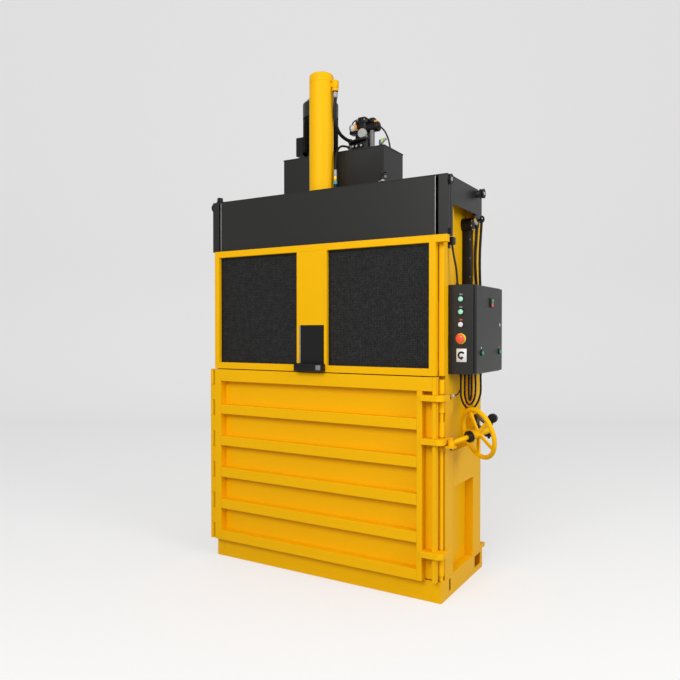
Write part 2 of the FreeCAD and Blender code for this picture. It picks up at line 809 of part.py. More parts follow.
def feed_door():
    """The sliding feed door: a tube frame with two mesh windows and a middle plate."""
    rail = "gate_rail"
    parts = [
        block("gate_top_rail", ("-gate_half", "gate_rail_reach"), ("front_plane", "gate_back"),
              (f"gate_top - {rail}", "gate_top")),
        block("gate_low_rail", ("-gate_half", "gate_half"), ("front_plane", "gate_back"),
              ("gate_bottom", f"gate_bottom + {rail}")),
    ]
    for name, low in (("left", "-gate_half"), ("right", "gate_half - gate_tube")):
        parts.append(block(f"stile_{name}", (low, f"{low} + gate_tube"), ("front_plane", "gate_back"),
                           ("gate_bottom", "gate_top")))
    for name, low in (("left", "gate_centre - centre_plate / 2"),
                      ("right", "gate_centre + centre_plate / 2 - gate_tube / 2")):
        parts.append(block(f"mullion_{name}", (low, f"{low} + gate_tube / 2"),
                           ("front_plane", "gate_back"), ("gate_bottom", "gate_top")))
    for side, sign in (("left", -1), ("right", 1)):
        middle = f"{sign} * (corner_inner - slot_width / 2)"
        parts.append(block(f"runner_{side}",
                           (f"{middle} - runner_thickness / 2", f"{middle} + runner_thickness / 2"),
                           ("gate_back", "base_front + guide_depth / 2 + roller_radius"),
                           ("gate_bottom + runner_low", "gate_bottom + runner_low + runner_height")))
    keep(joined("gate_frame", *parts), "feed_door_frame")
    rollers = []
    for side, sign in (("left", -1), ("right", 1)):
        near = f"{sign} * (corner_inner - slot_width / 2 + runner_thickness / 2)"
        far = f"{sign} * (guide_outer - guide_wall - plate)"
        low, high = sorted((near, far), key=measure)
        for level in range(2):
            rollers.append(round_bar(f"roller_{side}_{level}", "x", low,
                                     "base_front + guide_depth / 2",
                                     f"gate_bottom + 2 * runner_low + {level} * roller_spacing",
                                     "roller_radius", f"({high}) - ({low})"))
    keep(group("rollers", *rollers), "feed_door_rollers")
    low, high = f"gate_bottom + {rail}", f"gate_top - {rail}"
    mesh = ("front_plane + mesh_recess", "front_plane + mesh_recess + mesh_thickness")
    sheets = [block("mesh_left", ("-gate_half + gate_tube", "gate_centre - centre_plate / 2"), mesh,
                    (low, high)),
              block("mesh_right", ("gate_centre + centre_plate / 2", "gate_half - gate_tube"), mesh,
                    (low, high))]
    keep(group("mesh", *sheets), "feed_mesh")
    inner = ("gate_centre - centre_plate / 2 + gate_tube / 2",
             "gate_centre + centre_plate / 2 - gate_tube / 2")
    keep(block("middle_plate", inner, ("front_plane", "front_plane + plate"),
               (f"{low} + latch_height", high)), "feed_centre_plate")
    keep(block("latch_sheet", ("gate_centre - latch_plate / 2", "gate_centre + latch_plate / 2"),
               ("front_plane", "front_plane + plate"), (low, f"{low} + latch_height")),
         "feed_latch_plate")
    case = block("latch_case", ("gate_centre - handle_width / 2", "gate_centre + handle_width / 2"),
                 ("front_plane - handle_depth", "front_plane"), ("gate_bottom + handle_drop", low))
    knob = block("latch_knob", ("gate_centre + handle_width / 4",
                                "gate_centre + handle_width / 4 + handle_square"),
                 ("front_plane - handle_depth - plate", "front_plane - handle_depth"),
                 ("gate_bottom + 2 * handle_drop", low))
    keep(joined("latch", case, knob), "feed_handle")


# The collars that hold the lock pin: underside and top of each.
COLLARS = (
    ("foot", "lower_lug - collar_foot_gap - collar_foot", "lower_lug - collar_foot_gap"),
    ("lower", "middle_lug + lug_thickness + collar_gap",
     "middle_lug + lug_thickness + collar_gap + collar_lower"),
    ("upper", "upper_lug - collar_gap - collar_upper", "upper_lug - collar_gap"),
    ("top", "upper_lug + lug_thickness + collar_gap", "lock_top"),
)


def lock():
    """The frame side of the door lock: a vertical pin in collars, and the lever on it."""
    keep(round_bar("lock_rod", "z", "lock_x", "lock_front", "base_height", "lock_pin_radius",
                   "lock_top - base_height"), "lock_pin")
    collars = []
    for name, low, high in COLLARS:
        tube = round_bar(f"collar_{name}", "z", "lock_x", "lock_front", low, "lock_radius",
                         f"({high}) - ({low})")
        arm = block(f"collar_arm_{name}", ("lock_x - collar_web / 2", "lock_x + collar_web / 2"),
                    ("lock_front", "post_front"), (low, high))
        bore = round_bar(f"collar_bore_{name}", "z", "lock_x", "lock_front", f"({low}) - 1",
                         "lock_pin_radius", f"({high}) - ({low}) + 2")
        collars.append(less(f"collar_cut_{name}", joined(f"collar_blank_{name}", tube, arm), bore))
    keep(group("collars", *collars), "lock_collars")
    plate = flat("lever", "lever_low - lever_plate", "lever_plate", [
        ("lock_x - lever_heel", "lock_front + lock_radius"),
        ("lock_x + lever_toe", "lock_front + lock_radius"),
        ("fork_x + lever_nose", "fork_y + lever_nose"),
        ("fork_x + lever_nose", "fork_y - lever_nose"),
        ("fork_x - lever_nose", "fork_y - lever_nose"),
        ("lock_x + lever_heel / 2", "lock_front - lever_heel"),
        ("lock_x - lever_heel", "lock_front - lever_heel"),
    ])
    boss = round_bar("lever_boss", "z", "lock_x", "lock_front", "lever_low - 3 * lever_plate",
                     "lock_radius", "3 * lever_plate")
    bore = round_bar("lever_bore", "z", "lock_x", "lock_front", "lever_low - 4 * lever_plate",
                     "lock_pin_radius", "5 * lever_plate")
    bolt = round_bar("lever_bolt", "z", "fork_x", "fork_y", "lever_low - 2 * lever_plate",
                     "bolt_radius", "bolt_length")
    keep(joined("lever", less("lever_cut", joined("lever_blank", plate, boss), bore), bolt),
         "lock_lever")


def flat(name, low, thickness, corners):
    """A level plate with a given plan."""
    body = doc.addObject("PartDesign::Body", f"{name}_body")
    sketch = outline(body, f"{name}_plan", "XY_Plane", corners)
    pad = body.newObject("PartDesign::Pad", f"{name}_pad")
    pad.Profile = sketch
    bind(pad, Length=thickness)
    body.Tip = pad
    return put(body, "0", "0", low)


def handwheel():
    """The handwheel on its spindle, between the fork at the lock and the bracket behind."""
    start = FreeCAD.Vector(measure("fork_x"), measure("fork_y"), measure("eye_middle"))
    centre = FreeCAD.Vector(measure("wheel_x"), measure("wheel_y"), measure("wheel_z"))
    along = centre - start
    turn = FreeCAD.Rotation(FreeCAD.Vector(0, 0, 1), along)
    body = doc.addObject("PartDesign::Body", "wheel_body")
    rim = empty_sketch(body, "rim_section", "XZ_Plane")
    ring(rim, "wheel_rim / 2", "(wheel_diameter - wheel_rim) / 2", "0")
    turned = body.newObject("PartDesign::Revolution", "rim")
    turned.Profile = rim
    turned.ReferenceAxis = (rim, ["V_Axis"])
    turned.Angle = 360
    hub = empty_sketch(body, "hub_section", "XY_Plane")
    ring(hub, "hub_radius")
    ring(hub, "spindle_radius + hinge_play")
    pad = body.newObject("PartDesign::Pad", "hub")
    pad.Profile = hub
    bind(pad, Length="hub_front + hub_back")
    hub.setExpression("AttachmentOffset.Base.z", formula("-hub_front"))
    spoke = outline(body, "spoke_section", "YZ_Plane", [
        ("-spoke_width / 2", "-spoke_thickness / 2"), ("spoke_width / 2", "-spoke_thickness / 2"),
        ("spoke_width / 2", "spoke_thickness / 2"), ("-spoke_width / 2", "spoke_thickness / 2"),
    ])
    spoke.setExpression("AttachmentOffset.Base.z", formula("hub_radius - spoke_thickness / 3"))
    arm = body.newObject("PartDesign::Pad", "spoke")
    arm.Profile = spoke
    bind(arm, Length="(wheel_diameter - wheel_rim) / 2 - hub_radius")
    spokes = body.newObject("PartDesign::PolarPattern", "spokes")
    spokes.Originals = [arm]
    spokes.Axis = (axis_of(body, "Z_Axis"), [""])
    spokes.Angle = 360
    bind(spokes, Occurrences="wheel_spokes")
    body.Tip = spokes
    body.Placement = FreeCAD.Placement(centre, turn)
    keep(body, "handwheel")
    length = along.Length
    hub_front = length - measure("hub_front + hinge_play")
    hub_back = length + measure("hub_back + hinge_play")
    tail = length + measure("spindle_tail")
    ring_back = measure("ring_place + ring_length")
    rods = [
        shaft("spindle_core", start, turn, "spindle_radius", 0, tail),
        shaft("spindle_front", start, turn, "sleeve_radius", measure("sleeve_start"), hub_front),
        shaft("spindle_ring", start, turn, "ring_radius", measure("ring_place"), ring_back),
        shaft("spindle_back", start, turn, "tail_radius", hub_back, tail),
    ]
    eye = round_bar("spindle_eye", "z", "fork_x", "fork_y", "eye_low", "eye_radius", "eye_height")
    hole = round_bar("spindle_hole", "z", "fork_x", "fork_y", "eye_low - eye_play",
                     "bolt_radius + eye_play", "eye_height + 2 * eye_radius")
    far_hole = round_bar("spindle_far_hole", "z", "bracket_x", "bracket_y", "bracket_low",
                         "bolt_radius + eye_play", "bracket_high - bracket_low + bracket_plate")
    keep(less("spindle_cut", joined("spindle_blank", *rods, eye), hole, far_hole), "lock_spindle")


def shaft(name, start, turn, radius, near, far):
    """A round length of the spindle, between two distances from its eye."""
    item = doc.addObject("Part::Cylinder", name)
    bind(item, Radius=radius)
    item.Height = far - near
    where = start + turn.multVec(FreeCAD.Vector(0, 0, near))
    item.Placement = FreeCAD.Placement(where, turn)
    return item


def spindle_bracket():
    """The black fork on the rear post that carries the spindle's far end."""
    plates = []
    for name, low in (("low", "bracket_low"), ("high", "bracket_high")):
        plates.append(flat(f"bracket_{name}", low, "bracket_plate", [
            ("half_width", "rear_post_back - bracket_foot_back"),
            ("half_width", "rear_post_front + bracket_foot_front"),
            ("bracket_x - bracket_nose", "bracket_y + bracket_nose / 3"),
            ("bracket_x - bracket_nose / 3", "bracket_y - bracket_nose * 0.8"),
            ("bracket_x + bracket_nose * 0.75", "bracket_y - bracket_nose / 5"),
            ("bracket_x + bracket_nose / 2", "bracket_y + bracket_nose"),
        ]))
    pin = round_bar("bracket_pin", "z", "bracket_x", "bracket_y", "bracket_low - bracket_plate",
                    "bolt_radius", "bracket_high - bracket_low + 3 * bracket_plate")
    foot = block("bracket_foot", ("half_width", "half_width + bracket_plate"),
                 ("rear_post_front + bracket_foot_front", "rear_post_back - bracket_foot_back"),
                 ("bracket_low", "bracket_high + bracket_plate"))
    knob = round_bar("bracket_knob", "y", "bracket_x + knob_radius / 2",
                     "bracket_y + bracket_nose / 2", "bracket_high + bracket_plate + knob_radius - 3",
                     "knob_radius", "knob_length")
    keep(joined("bracket", *plates, pin, foot, knob), "spindle_bracket")


def press():
    """The press cylinder, its rod and the platen, drawn back to the top."""
    body = doc.addObject("PartDesign::Body", "barrel_body")
    half = "cylinder_diameter / 2"
    sketch = outline(body, "barrel_profile", "XZ_Plane", [
        ("0", "crosshead_bottom"), (half, "crosshead_bottom"), (half, "cylinder_end - 50"),
        (f"{half} - 2", "cylinder_end - 48"), (f"{half} - 2", "cylinder_end - 44"),
        (half, "cylinder_end - 42"), (half, "cylinder_end - 4"), (f"{half} - 4", "cylinder_end"),
        ("0", "cylinder_end"),
    ])
    turned = body.newObject("PartDesign::Revolution", "barrel")
    turned.Profile = sketch
    turned.ReferenceAxis = (sketch, ["V_Axis"])
    turned.Angle = 360
    body.Tip = turned
    put(body, "cylinder_x", "cylinder_y", "0")
    keep(body, "cylinder_barrel")
    keep(round_bar("rod", "z", "cylinder_x", "cylinder_y", "platen_bottom + platen_thickness",
                   "rod_diameter / 2", "crosshead_bottom - platen_bottom - platen_thickness"),
         "ram_rod")
    wide = ("-wall_inner + platen_clearance", "wall_inner - platen_clearance")
    deep = ("post_front + platen_clearance", "rear_post_back - plate - platen_clearance")
    solid = block("platen_block", wide, deep, ("platen_bottom", "platen_bottom + platen_thickness"))
    tray = block("platen_tray", (f"{wide[0]} + crosshead_wall", f"{wide[1]} - crosshead_wall"),
                 (f"{deep[0]} + crosshead_wall", f"{deep[1]} - crosshead_wall"),
                 ("platen_bottom + crosshead_wall", "platen_bottom + platen_thickness + 1"))
    boss = round_bar("platen_boss", "z", "cylinder_x", "cylinder_y + crosshead_wall",
                     "platen_bottom + crosshead_wall / 2", "rod_diameter * 0.62",
                     "platen_thickness - crosshead_wall / 2")
    inner = less("platen_hollow", tray, boss)
    keep(less("platen_cut", solid, inner), "platen")


def power_pack():
    """The oil tank on the head, with the finned motor and the valve block on its lid."""
    low, high = "tank_centre_x - tank_length / 2", "tank_centre_x + tank_length / 2"
    near, far = "tank_centre_y - tank_depth / 2", "tank_centre_y + tank_depth / 2"
    shell = block("tank_shell", (low, high), (near, far), ("head_top", "tank_top - plate"))
    lid = block("lid", (f"{low} - plate / 2", f"{high} + plate / 2"),
                (f"{near} - plate / 2", f"{far} + plate / 2"), ("tank_top - plate", "tank_top"))
    tap = block("level_tap", (f"{high} - tap_width", high), (f"{near} - tap_depth", near),
                ("head_top", "head_top + tap_height"))
    lever = round_bar("level_tap_lever", "z", f"{high} - plate", f"{near} - tap_depth / 2",
                      "head_top + tap_height", "plate", "tap_lever - tap_height")
    keep(joined("tank", shell, lid, tap, lever), "oil_tank")
    body = doc.addObject("PartDesign::Body", "motor_body")
    wide = "motor_diameter / 2"
    sketch = outline(body, "motor_profile", "XZ_Plane", [
        ("0", "0"), ("motor_core", "0"), ("motor_core", "fin_bottom / 4"),
        ("motor_core - 14", "fin_bottom / 4"), ("motor_core - 14", "fin_bottom - 8"),
        ("motor_core", "fin_bottom"), ("motor_core", "fin_top + cowl_gap"),
        (wide, "fin_top + cowl_gap"), (wide, "motor_height - cowl_taper"),
        (f"{wide} - cowl_taper", "motor_height"), ("0", "motor_height"),
    ])
    turned = body.newObject("PartDesign::Revolution", "motor_turned")
    turned.Profile = sketch
    turned.ReferenceAxis = (sketch, ["V_Axis"])
    turned.Angle = 360
    fin = outline(body, "fin_plan", "XY_Plane", [
        ("motor_core - 3", "-fin_width / 2"), (f"{wide} - 1", "-fin_width / 2"),
        (f"{wide} - 1", "fin_width / 2"), ("motor_core - 3", "fin_width / 2"),
    ])
    fin.setExpression("AttachmentOffset.Base.z", formula("fin_bottom"))
    blade = body.newObject("PartDesign::Pad", "fin")
    blade.Profile = fin
    bind(blade, Length="fin_top - fin_bottom")
    fins = body.newObject("PartDesign::PolarPattern", "fins")
    fins.Originals = [blade]
    fins.Axis = (axis_of(body, "Z_Axis"), [""])
    fins.Angle = 360
    bind(fins, Occurrences="motor_fins")
    body.Tip = fins
    put(body, "motor_x", "motor_y", "tank_top")
    box = block("terminal_case", ("motor_x - terminal_reach", "motor_x - motor_core + 4"),
                ("motor_y - terminal_width * 0.8", "motor_y + terminal_width * 0.2"),
                ("tank_top + terminal_bottom", "tank_top + terminal_bottom + terminal_height"))
    keep(joined("motor", body, box), "pump_motor")
    foot = block("manifold", ("manifold_x", "manifold_x + manifold_length"),
                 ("manifold_front", "-manifold_front"), ("tank_top", "manifold_top"))
    valve = block("valve", ("valve_x", "valve_x + valve_width"),
                  ("manifold_front * 0.7", "-manifold_front * 0.7"),
                  ("manifold_top", "tank_top + valve_top"))
    coils = [
        round_bar("coil_left", "x", "valve_x - solenoid_left", "0", "tank_top + solenoid_z",
                  "solenoid_radius", "solenoid_left"),
        round_bar("coil_right", "x", "valve_x + valve_width", "0", "tank_top + solenoid_z",
                  "solenoid_radius", "solenoid_right"),
    ]
    front = "manifold_front * 0.7"
    cap = round_bar("relief_cap", "y", "valve_x + valve_width * 0.7", f"{front} - cap_length",
                    "tank_top + solenoid_z - cap_drop", "cap_radius", "cap_length")
    keep(joined("valves", foot, valve, cap, *coils), "valve_block")


def fittings():
    """The metal ends of the oil hoses."""
    elbow = block("elbow", ("cylinder_x + cylinder_diameter / 2 - 6", "elbow_x + elbow_width / 2"),
                  ("cylinder_y - elbow_width / 2", "cylinder_y + elbow_width / 2"),
                  ("elbow_z - elbow_height", "elbow_z"))
    ferrule = round_bar("ferrule", "z", "elbow_x", "cylinder_y", "hose_start", "ferrule_radius",
                        "ferrule_length")
    barrel = round_bar("elbow_seat", "z", "cylinder_x", "cylinder_y", "elbow_z - elbow_height - 1",
                       "cylinder_diameter / 2", "elbow_height + 2")
    port = less("elbow_cut", elbow, barrel)
    tap = round_bar("tap", "z", "return_x", "return_y", "head_top", "ferrule_radius * 0.7",
                    "return_fitting")
    sockets = [round_bar(f"socket_{name}", "y", "elbow_x", "manifold_front - plate * 3", level,
                         "ferrule_radius", "plate * 3")
               for name, level in (("pressure", "pressure_z"), ("return", "return_z"))]
    keep(group("hose_ends", joined("elbow_union", port, ferrule), tap, *sockets), "hose_fittings")


def lift_gear():
    """Pulleys, cables and the drop channel that balance the feed door."""
    wheels = []
    for side, sign in SIDES:
        for spot, y, z, near, width in (
                ("front", "pulley_y", "pulley_z", "pulley_x", "pulley_width"),
                ("rear", "drum_y", "drum_z", "pulley_x + drum_boss", "drum_width")):
            name = f"{spot}_{side}"
            low, high = mirrored(sign, near, f"{near} + {width}")
            disc = round_bar(f"pulley_{name}", "x", low, y, z, "pulley_radius", f"({high}) - ({low})")
            low, high = mirrored(sign, "head_half_width", f"{near} + {width} + plate")
            pin = round_bar(f"pulley_pin_{name}", "x", low, y, z, "shaft_radius",
                            f"({high}) - ({low})")
            wheels.append(joined(f"pulley_set_{name}", disc, pin))
    half = "roller_stand_width / 2"
    top = "head_top + roller_stand_height"
    stand = block("stand_foot", (f"roller_stand_x - {half}", f"roller_stand_x + {half}"),
                  (f"roller_stand_y - {half} / 2", f"roller_stand_y + {half} / 2"),
                  ("head_top", "head_top + plate"))
    cheeks = [block(f"stand_cheek_{name}", (low, f"{low} + plate"),
                    (f"roller_stand_y - {half} / 3", f"roller_stand_y + {half} / 3"), ("head_top", top))
              for name, low in (("left", f"roller_stand_x - {half}"),
                                ("right", f"roller_stand_x + {half} - plate"))]
    roller = round_bar("stand_roller", "x", f"roller_stand_x - {half}", "roller_stand_y",
                       f"{top} - {half} / 2", f"{half} / 2 + plate / 2", "roller_stand_width")
    wheels.append(joined("roller_stand", stand, *cheeks, roller))
    keep(group("pulleys", *wheels), "lift_pulleys")
    cables = []
    for side, sign in SIDES:
        low, high = mirrored(sign, "pulley_x", "pulley_x + pulley_width")
        middle = f"({low} + {high}) / 2"
        drop = round_bar(f"cable_{side}", "z", middle, "pulley_y", "clevis_z",
                         "cable_radius", "pulley_z - pulley_radius - clevis_z")
        clevis = block(f"clevis_{side}", mirrored(sign, "head_half_width", "pulley_x + pulley_width"),
                       ("pulley_y - plate", "pulley_y + plate"), ("clevis_z - clevis_drop", "clevis_z + clevis_head"))
        cables.append(joined(f"cable_set_{side}", drop, clevis))
    keep(group("cables", *cables), "lift_cables")
    channel = block("drop_channel_block", ("wall_outer", "half_width - plate"),
                    ("drop_channel_y", "drop_channel_y + drop_channel_width"),
                    ("cabinet_bottom + drop_channel_start", "drop_drum_z"))
    drum = round_bar("drop_drum", "x", "wall_outer",
                     "drop_channel_y + drop_channel_width / 2 - drop_drum_forward",
                     "drop_drum_z", "drop_drum_radius", "post_width + plate")
    keep(joined("drop_channel", channel, drum), "lift_channel")
    front = block("junction_front", ("half_width", "half_width + junction_depth"),
                  ("rear_post_front + gate_gap", "rear_post_front + gate_gap + junction_length"),
                  ("junction_z", "junction_z + junction_height"))
    rear = block("junction_rear",
                 ("half_width + rear_cover", "half_width + rear_cover + 1.4 * junction_depth"),
                 ("rear_post_back - 2 * junction_length", "rear_post_back - junction_length"),
                 ("head_top - rear_cover_bottom + plate",
                  "head_top - rear_cover_bottom + plate + junction_height"))
    keep(group("junctions", front, rear), "cable_junction")


def cabinet():
    """The control cabinet on the right side: case, door, push buttons and cable glands."""
    keep(block("cabinet_case", ("half_width", "cabinet_side"), ("cabinet_front", "cabinet_back"),
               ("cabinet_bottom", "cabinet_top")), "control_cabinet")
    keep(block("cabinet_lid", ("cabinet_side", "cabinet_side + cabinet_door"),
               ("cabinet_front + door_margin", "cabinet_back - door_margin / 2"),
               ("cabinet_bottom + door_margin / 2", "cabinet_top - door_margin / 2")), "cabinet_door")
    controls = []
    for index in range(int(measure("button_count"))):
        level = f"cabinet_top - first_button - {index} * button_pitch"
        controls.append(round_bar(f"button_{index}", "y", "button_x", "cabinet_front - button_depth",
                                  level, "button_radius", "button_depth"))
    plate = round_bar("stop_plate", "y", "button_x", "cabinet_front - plate", "stop_z",
                      "stop_radius", "plate")
    stalk = round_bar("stop_stalk", "y", "button_x", "cabinet_front - 5 * plate", "stop_z",
                      "stop_radius * 0.4", "5 * plate")
    cap = round_bar("stop_cap", "y", "button_x", "cabinet_front - 5 * plate", "stop_z",
                    "stop_radius * 0.67", "2 * plate")
    controls.append(joined("stop_button", plate, stalk, cap))
    outer = "cabinet_side + cabinet_door"
    rocker = "cabinet_front + rocker_back"
    controls.append(block("main_switch", (outer, f"{outer} + 2 * plate"),
                          (rocker, f"{rocker} + rocker_width"),
                          ("cabinet_top - rocker_drop - rocker_height", "cabinet_top - rocker_drop")))
    third = "cabinet_top - first_button - 2 * button_pitch"
    lamps = "cabinet_bottom + lamp_rise"
    for name, y, z in (("lock", "cabinet_back - door_lock_front", third),
                       ("lamp_front", "cabinet_front + lamp_front_in", lamps),
                       ("lamp_rear", "cabinet_back - lamp_rear_in", lamps)):
        controls.append(round_bar(f"cabinet_{name}", "x", outer, y, z, "lamp_radius", "plate"))
    keep(group("control_set", *controls), "cabinet_controls")


# Cables that hang under the cabinet, named as their sizes are.
LOOPS = ("outer", "middle", "inner")


def loop_ends(name):
    """The x and y formulas of a hanging cable's two glands."""
    return ((f"half_width + {name}_near", f"cabinet_front + {name}_start"),
            (f"half_width + {name}_far", f"cabinet_front + {name}_end"))


SENSOR_GLAND = ("half_width + sensor_gland_out", "cabinet_front + sensor_gland_back")
TOP_GLANDS = {
    "front": ("half_width + lead_front_out", "cabinet_front + lead_front_back"),
    "rear": ("half_width + lead_rear_out", "cabinet_front + lead_rear_back"),
    "switch": ("half_width + switch_lead_out", "cabinet_front + switch_lead_back"),
}


def glands():
    """Cable glands under and on top of the cabinet."""
    set_of_glands = []
    under = [(f"{name}_{end}", spot) for name in LOOPS
             for end, spot in zip(("start", "end"), loop_ends(name))]
    under.append(("sensor", SENSOR_GLAND))
    for name, (x, y) in under:
        set_of_glands.append(round_bar(f"gland_{name}", "z", x, y, "gland_end", "gland_radius",
                                       "gland_length"))
    for name, (x, y) in TOP_GLANDS.items():
        set_of_glands.append(round_bar(f"gland_{name}", "z", x, y, "cabinet_top", "gland_radius",
                                       "gland_length / 2"))
    keep(group("gland_set", *set_of_glands), "cable_glands")


def sensors():
    """The limit switch beside the feed door's rail and the sensor behind the upper lug."""
    case_front, case_back = "switch_y - switch_width / 2", "switch_y + switch_width / 2"
    mount = block("switch_mount", ("half_width", "half_width + plate"),
                  (f"{case_front} - plate", case_back),
                  ("switch_z - 3 * plate", "head_bottom - plate / 6"))
    case = block("switch_case", ("half_width + plate", "half_width + switch_reach"),
                 (case_front, case_back), ("switch_z", "switch_z + switch_height"))
    body = round_bar("sensor_body", "y", "sensor_x", "sensor_tip", "sensor_z", "sensor_radius",
                     "sensor_tail - sensor_tip")
    clip = "sensor_tip + 5 * sensor_radius"
    bracket = block("sensor_mount", ("half_width", "sensor_x"), (clip, f"{clip} + 2 * plate"),
                    ("sensor_z - 3 * plate", "sensor_z + 2 * plate"))
    keep(group("sensor_set", joined("limit_switch", mount, case), joined("sensor", body, bracket)),
         "position_sensors")


def cord(node, radius, points):
    """A flexible line: straight runs joined by tangent arcs, as one round solid.

    At each corner the arc starts 0.45 of the shorter run away from it.
    """
    corners = [FreeCAD.Vector(*(measure(value) for value in point)) for point in points]
    edges, last, radii = [], corners[0], []
    for before, here, after in zip(corners, corners[1:], corners[2:]):
        back, on = (before - here), (after - here)
        reach = 0.45 * min(back.Length, on.Length)
        back.normalize()
        on.normalize()
        start, end = here + back * reach, here + on * reach
        bend = reach * math.tan(on.getAngle(back) / 2)
        centre = here + (back + on).normalize() * (reach * reach + bend * bend) ** 0.5
        middle = centre + (here - centre).normalize() * bend
        radii.append(bend)
        edges.append(Part.LineSegment(last, start).toShape())
        edges.append(Part.Arc(start, middle, end).toShape())
        last = end
    edges.append(Part.LineSegment(last, corners[-1]).toShape())
    size = measure(radius)
    path = Part.Wire(edges)
    disc = Part.Wire(Part.makeCircle(size, corners[0], corners[1] - corners[0]))
    item = doc.addObject("Part::Feature", node)
    item.Shape = path.makePipeShell([disc], True, False)
    print(node, "length", round(path.Length), "smallest bend", round(min(radii)),
          "needed", round(10 * size), "volume off",
          round(item.Shape.Volume / (path.Length * math.pi * size * size) - 1, 4))
    return keep(item, node)


def hanging_loop(name):
    """Corner points of a cable that hangs as a U between two glands.

    The legs go down and bulge a little, and half an octagon of half-width r closes them;
    its corners lie at r tan(22.5 deg) from the ends of its flats.
    """
    (x1, y1), (x2, y2) = loop_ends(name)
    wide = f"(({y2}) - ({y1}))"
    flat_part = f"({wide} / 2 * tan(22.5))"
    low = f"({name}_drop - {wide} / 2 + {flat_part})"
    levels = [("0.4", "0"), (f"{low} / 2", "-leg_bulge"), (low, "0"),
              (f"{name}_drop", f"{wide} / 2 - {flat_part}")]
    levels += [(deep, f"{wide} - ({across})") for deep, across in reversed(levels)]
    return [(f"{x1} + (({x2}) - ({x1})) * ({across}) / {wide}", f"{y1} + {across}",
             f"gland_end - {deep}") for deep, across in levels]


def cords():
    """The oil hoses, the leads to the cabinet and the hanging cable loops."""
    socket = "manifold_front - plate * 3"
    cord("pressure_hose", "pressure_radius", [
        ("elbow_x", "cylinder_y", "hose_start - 1.8"),
        ("elbow_x - 8", "cylinder_y + 2", "hose_start - 74"),
        ("elbow_x - 13", "cylinder_y + 18", "pressure_z + 86"),
        ("elbow_x - 14", "cylinder_y + 60", "pressure_z + 32"),
        ("elbow_x - 8", f"{socket} - 58", "pressure_z + 4"),
        ("elbow_x", f"{socket} - 3.1", "pressure_z"),
    ])
    cord("return_hose", "return_radius", [
        ("elbow_x", f"{socket} - 0.8", "return_z"), ("return_x", f"{socket} - 68", "return_z - 4"),
        ("return_x - 1", "return_y + 50", "return_z - 26"),
        ("return_x - 1", "return_y + 12", "return_z - 80"),
        ("return_x", "return_y + 1", "head_top + return_fitting + 52"),
        ("return_x", "return_y", "head_top + return_fitting + 0.2"),
    ])
    right, coil = "valve_x + valve_width + solenoid_right", "tank_top + solenoid_z"
    cord("pilot_hose", "pilot_radius", [
        (f"{right} + 2.4", "0", coil), (f"{right} + 32", "8", f"{coil} - 22"),
        (f"{right} + 50", "34", f"{coil} - 76"), (f"{right} + 56", "52", "tank_top + 42"),
        (f"{right} + 58", "58", "tank_top + 0.8"),
    ])
    (x, y), over = TOP_GLANDS["front"], "cabinet_top + gland_length / 2"
    cord("side_cable_front", "lead_radius", [
        (x, y, f"{over} + 2.4"), (x, f"{y} - 27", "cabinet_top + 120"),
        (x, f"{y} - 27", "cabinet_top + 240"), (x, f"{y} - 3", "junction_z - 67"),
        (x, f"{y} + 1", "junction_z - 0.8"),
    ])
    (x, y), cover = TOP_GLANDS["rear"], "head_top - rear_cover_bottom + plate"
    cord("side_cable_rear", "lead_radius", [
        (x, y, f"{over} + 1.4"), (x, f"{y} - 14", "cabinet_top + 120"),
        (f"{x} - 1", f"{y} - 8", "cabinet_top + 240"), (f"{x} - 6", f"{y} + 26", f"{cover} - 93"),
        (f"{x} - 12", f"{y} + 58", f"{cover} - 2.7"),
    ])
    x, y = TOP_GLANDS["switch"]
    cord("switch_cable", "wire_radius", [
        ("half_width + 24", "switch_y", "switch_z - 0.8"),
        ("half_width + 30", "switch_y - 4", "switch_z - 70"),
        (f"{x} - 4", "switch_y", "switch_z - 150"), (x, y, f"{over} + 1.4"),
    ])
    for name in LOOPS:
        cord(f"cable_loop_{name}", "wire_radius", hanging_loop(name))
    x, y = SENSOR_GLAND
    cord("sensor_cable", "wire_radius * 0.8", [
        ("sensor_x", "sensor_tail + 1.1", "sensor_z"),
        ("sensor_x + 3", "sensor_tail + 44", "sensor_z + 9"),
        ("sensor_x + 10", "sensor_tail + 62", "gland_end - 49"), (x, y, "gland_end - 1.4"),
    ])


def check_document():
    """Stops the build if any object failed or any sub-part has a bad shape."""
    doc.recompute()
    for item in doc.Objects:
        if "Invalid" in item.State or "Error" in item.State:
            raise RuntimeError(f"{item.Name} failed: {item.State}")
    for item in pieces:
        if item.Shape.isNull() or not item.Shape.isValid() or not item.Shape.Solids:
            raise RuntimeError(f"{item.Label} has a bad shape")


for build in (base_frame, upright_frame, head, main_door, door_lugs, hinge, feed_door, lock,
              handwheel, spindle_bracket, press, power_pack, fittings, lift_gear, cabinet,
              glands, sensors, cords):
    build()
check_document()

os.makedirs("parts", exist_ok=True)
for item in pieces:
    item.Shape.exportStep(f"parts/{item.Label}.step")
    print(item.Label, len(item.Shape.Solids), round(item.Shape.Volume / 1e6, 2), "litres")
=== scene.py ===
# %% [markdown]
# # A vertical cardboard baler
# The real machine is a welded steel press: a yellow frame and door, a dark head with the oil
# tank on top, and a tall cylinder that pushes a platen down onto loose cardboard. The solids
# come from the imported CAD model. This lesson dresses them: it softens their edges, gives each
# finish a procedural material, and adds the small parts that a welder or fitter would add.

# %% Load the frame
import json
import math

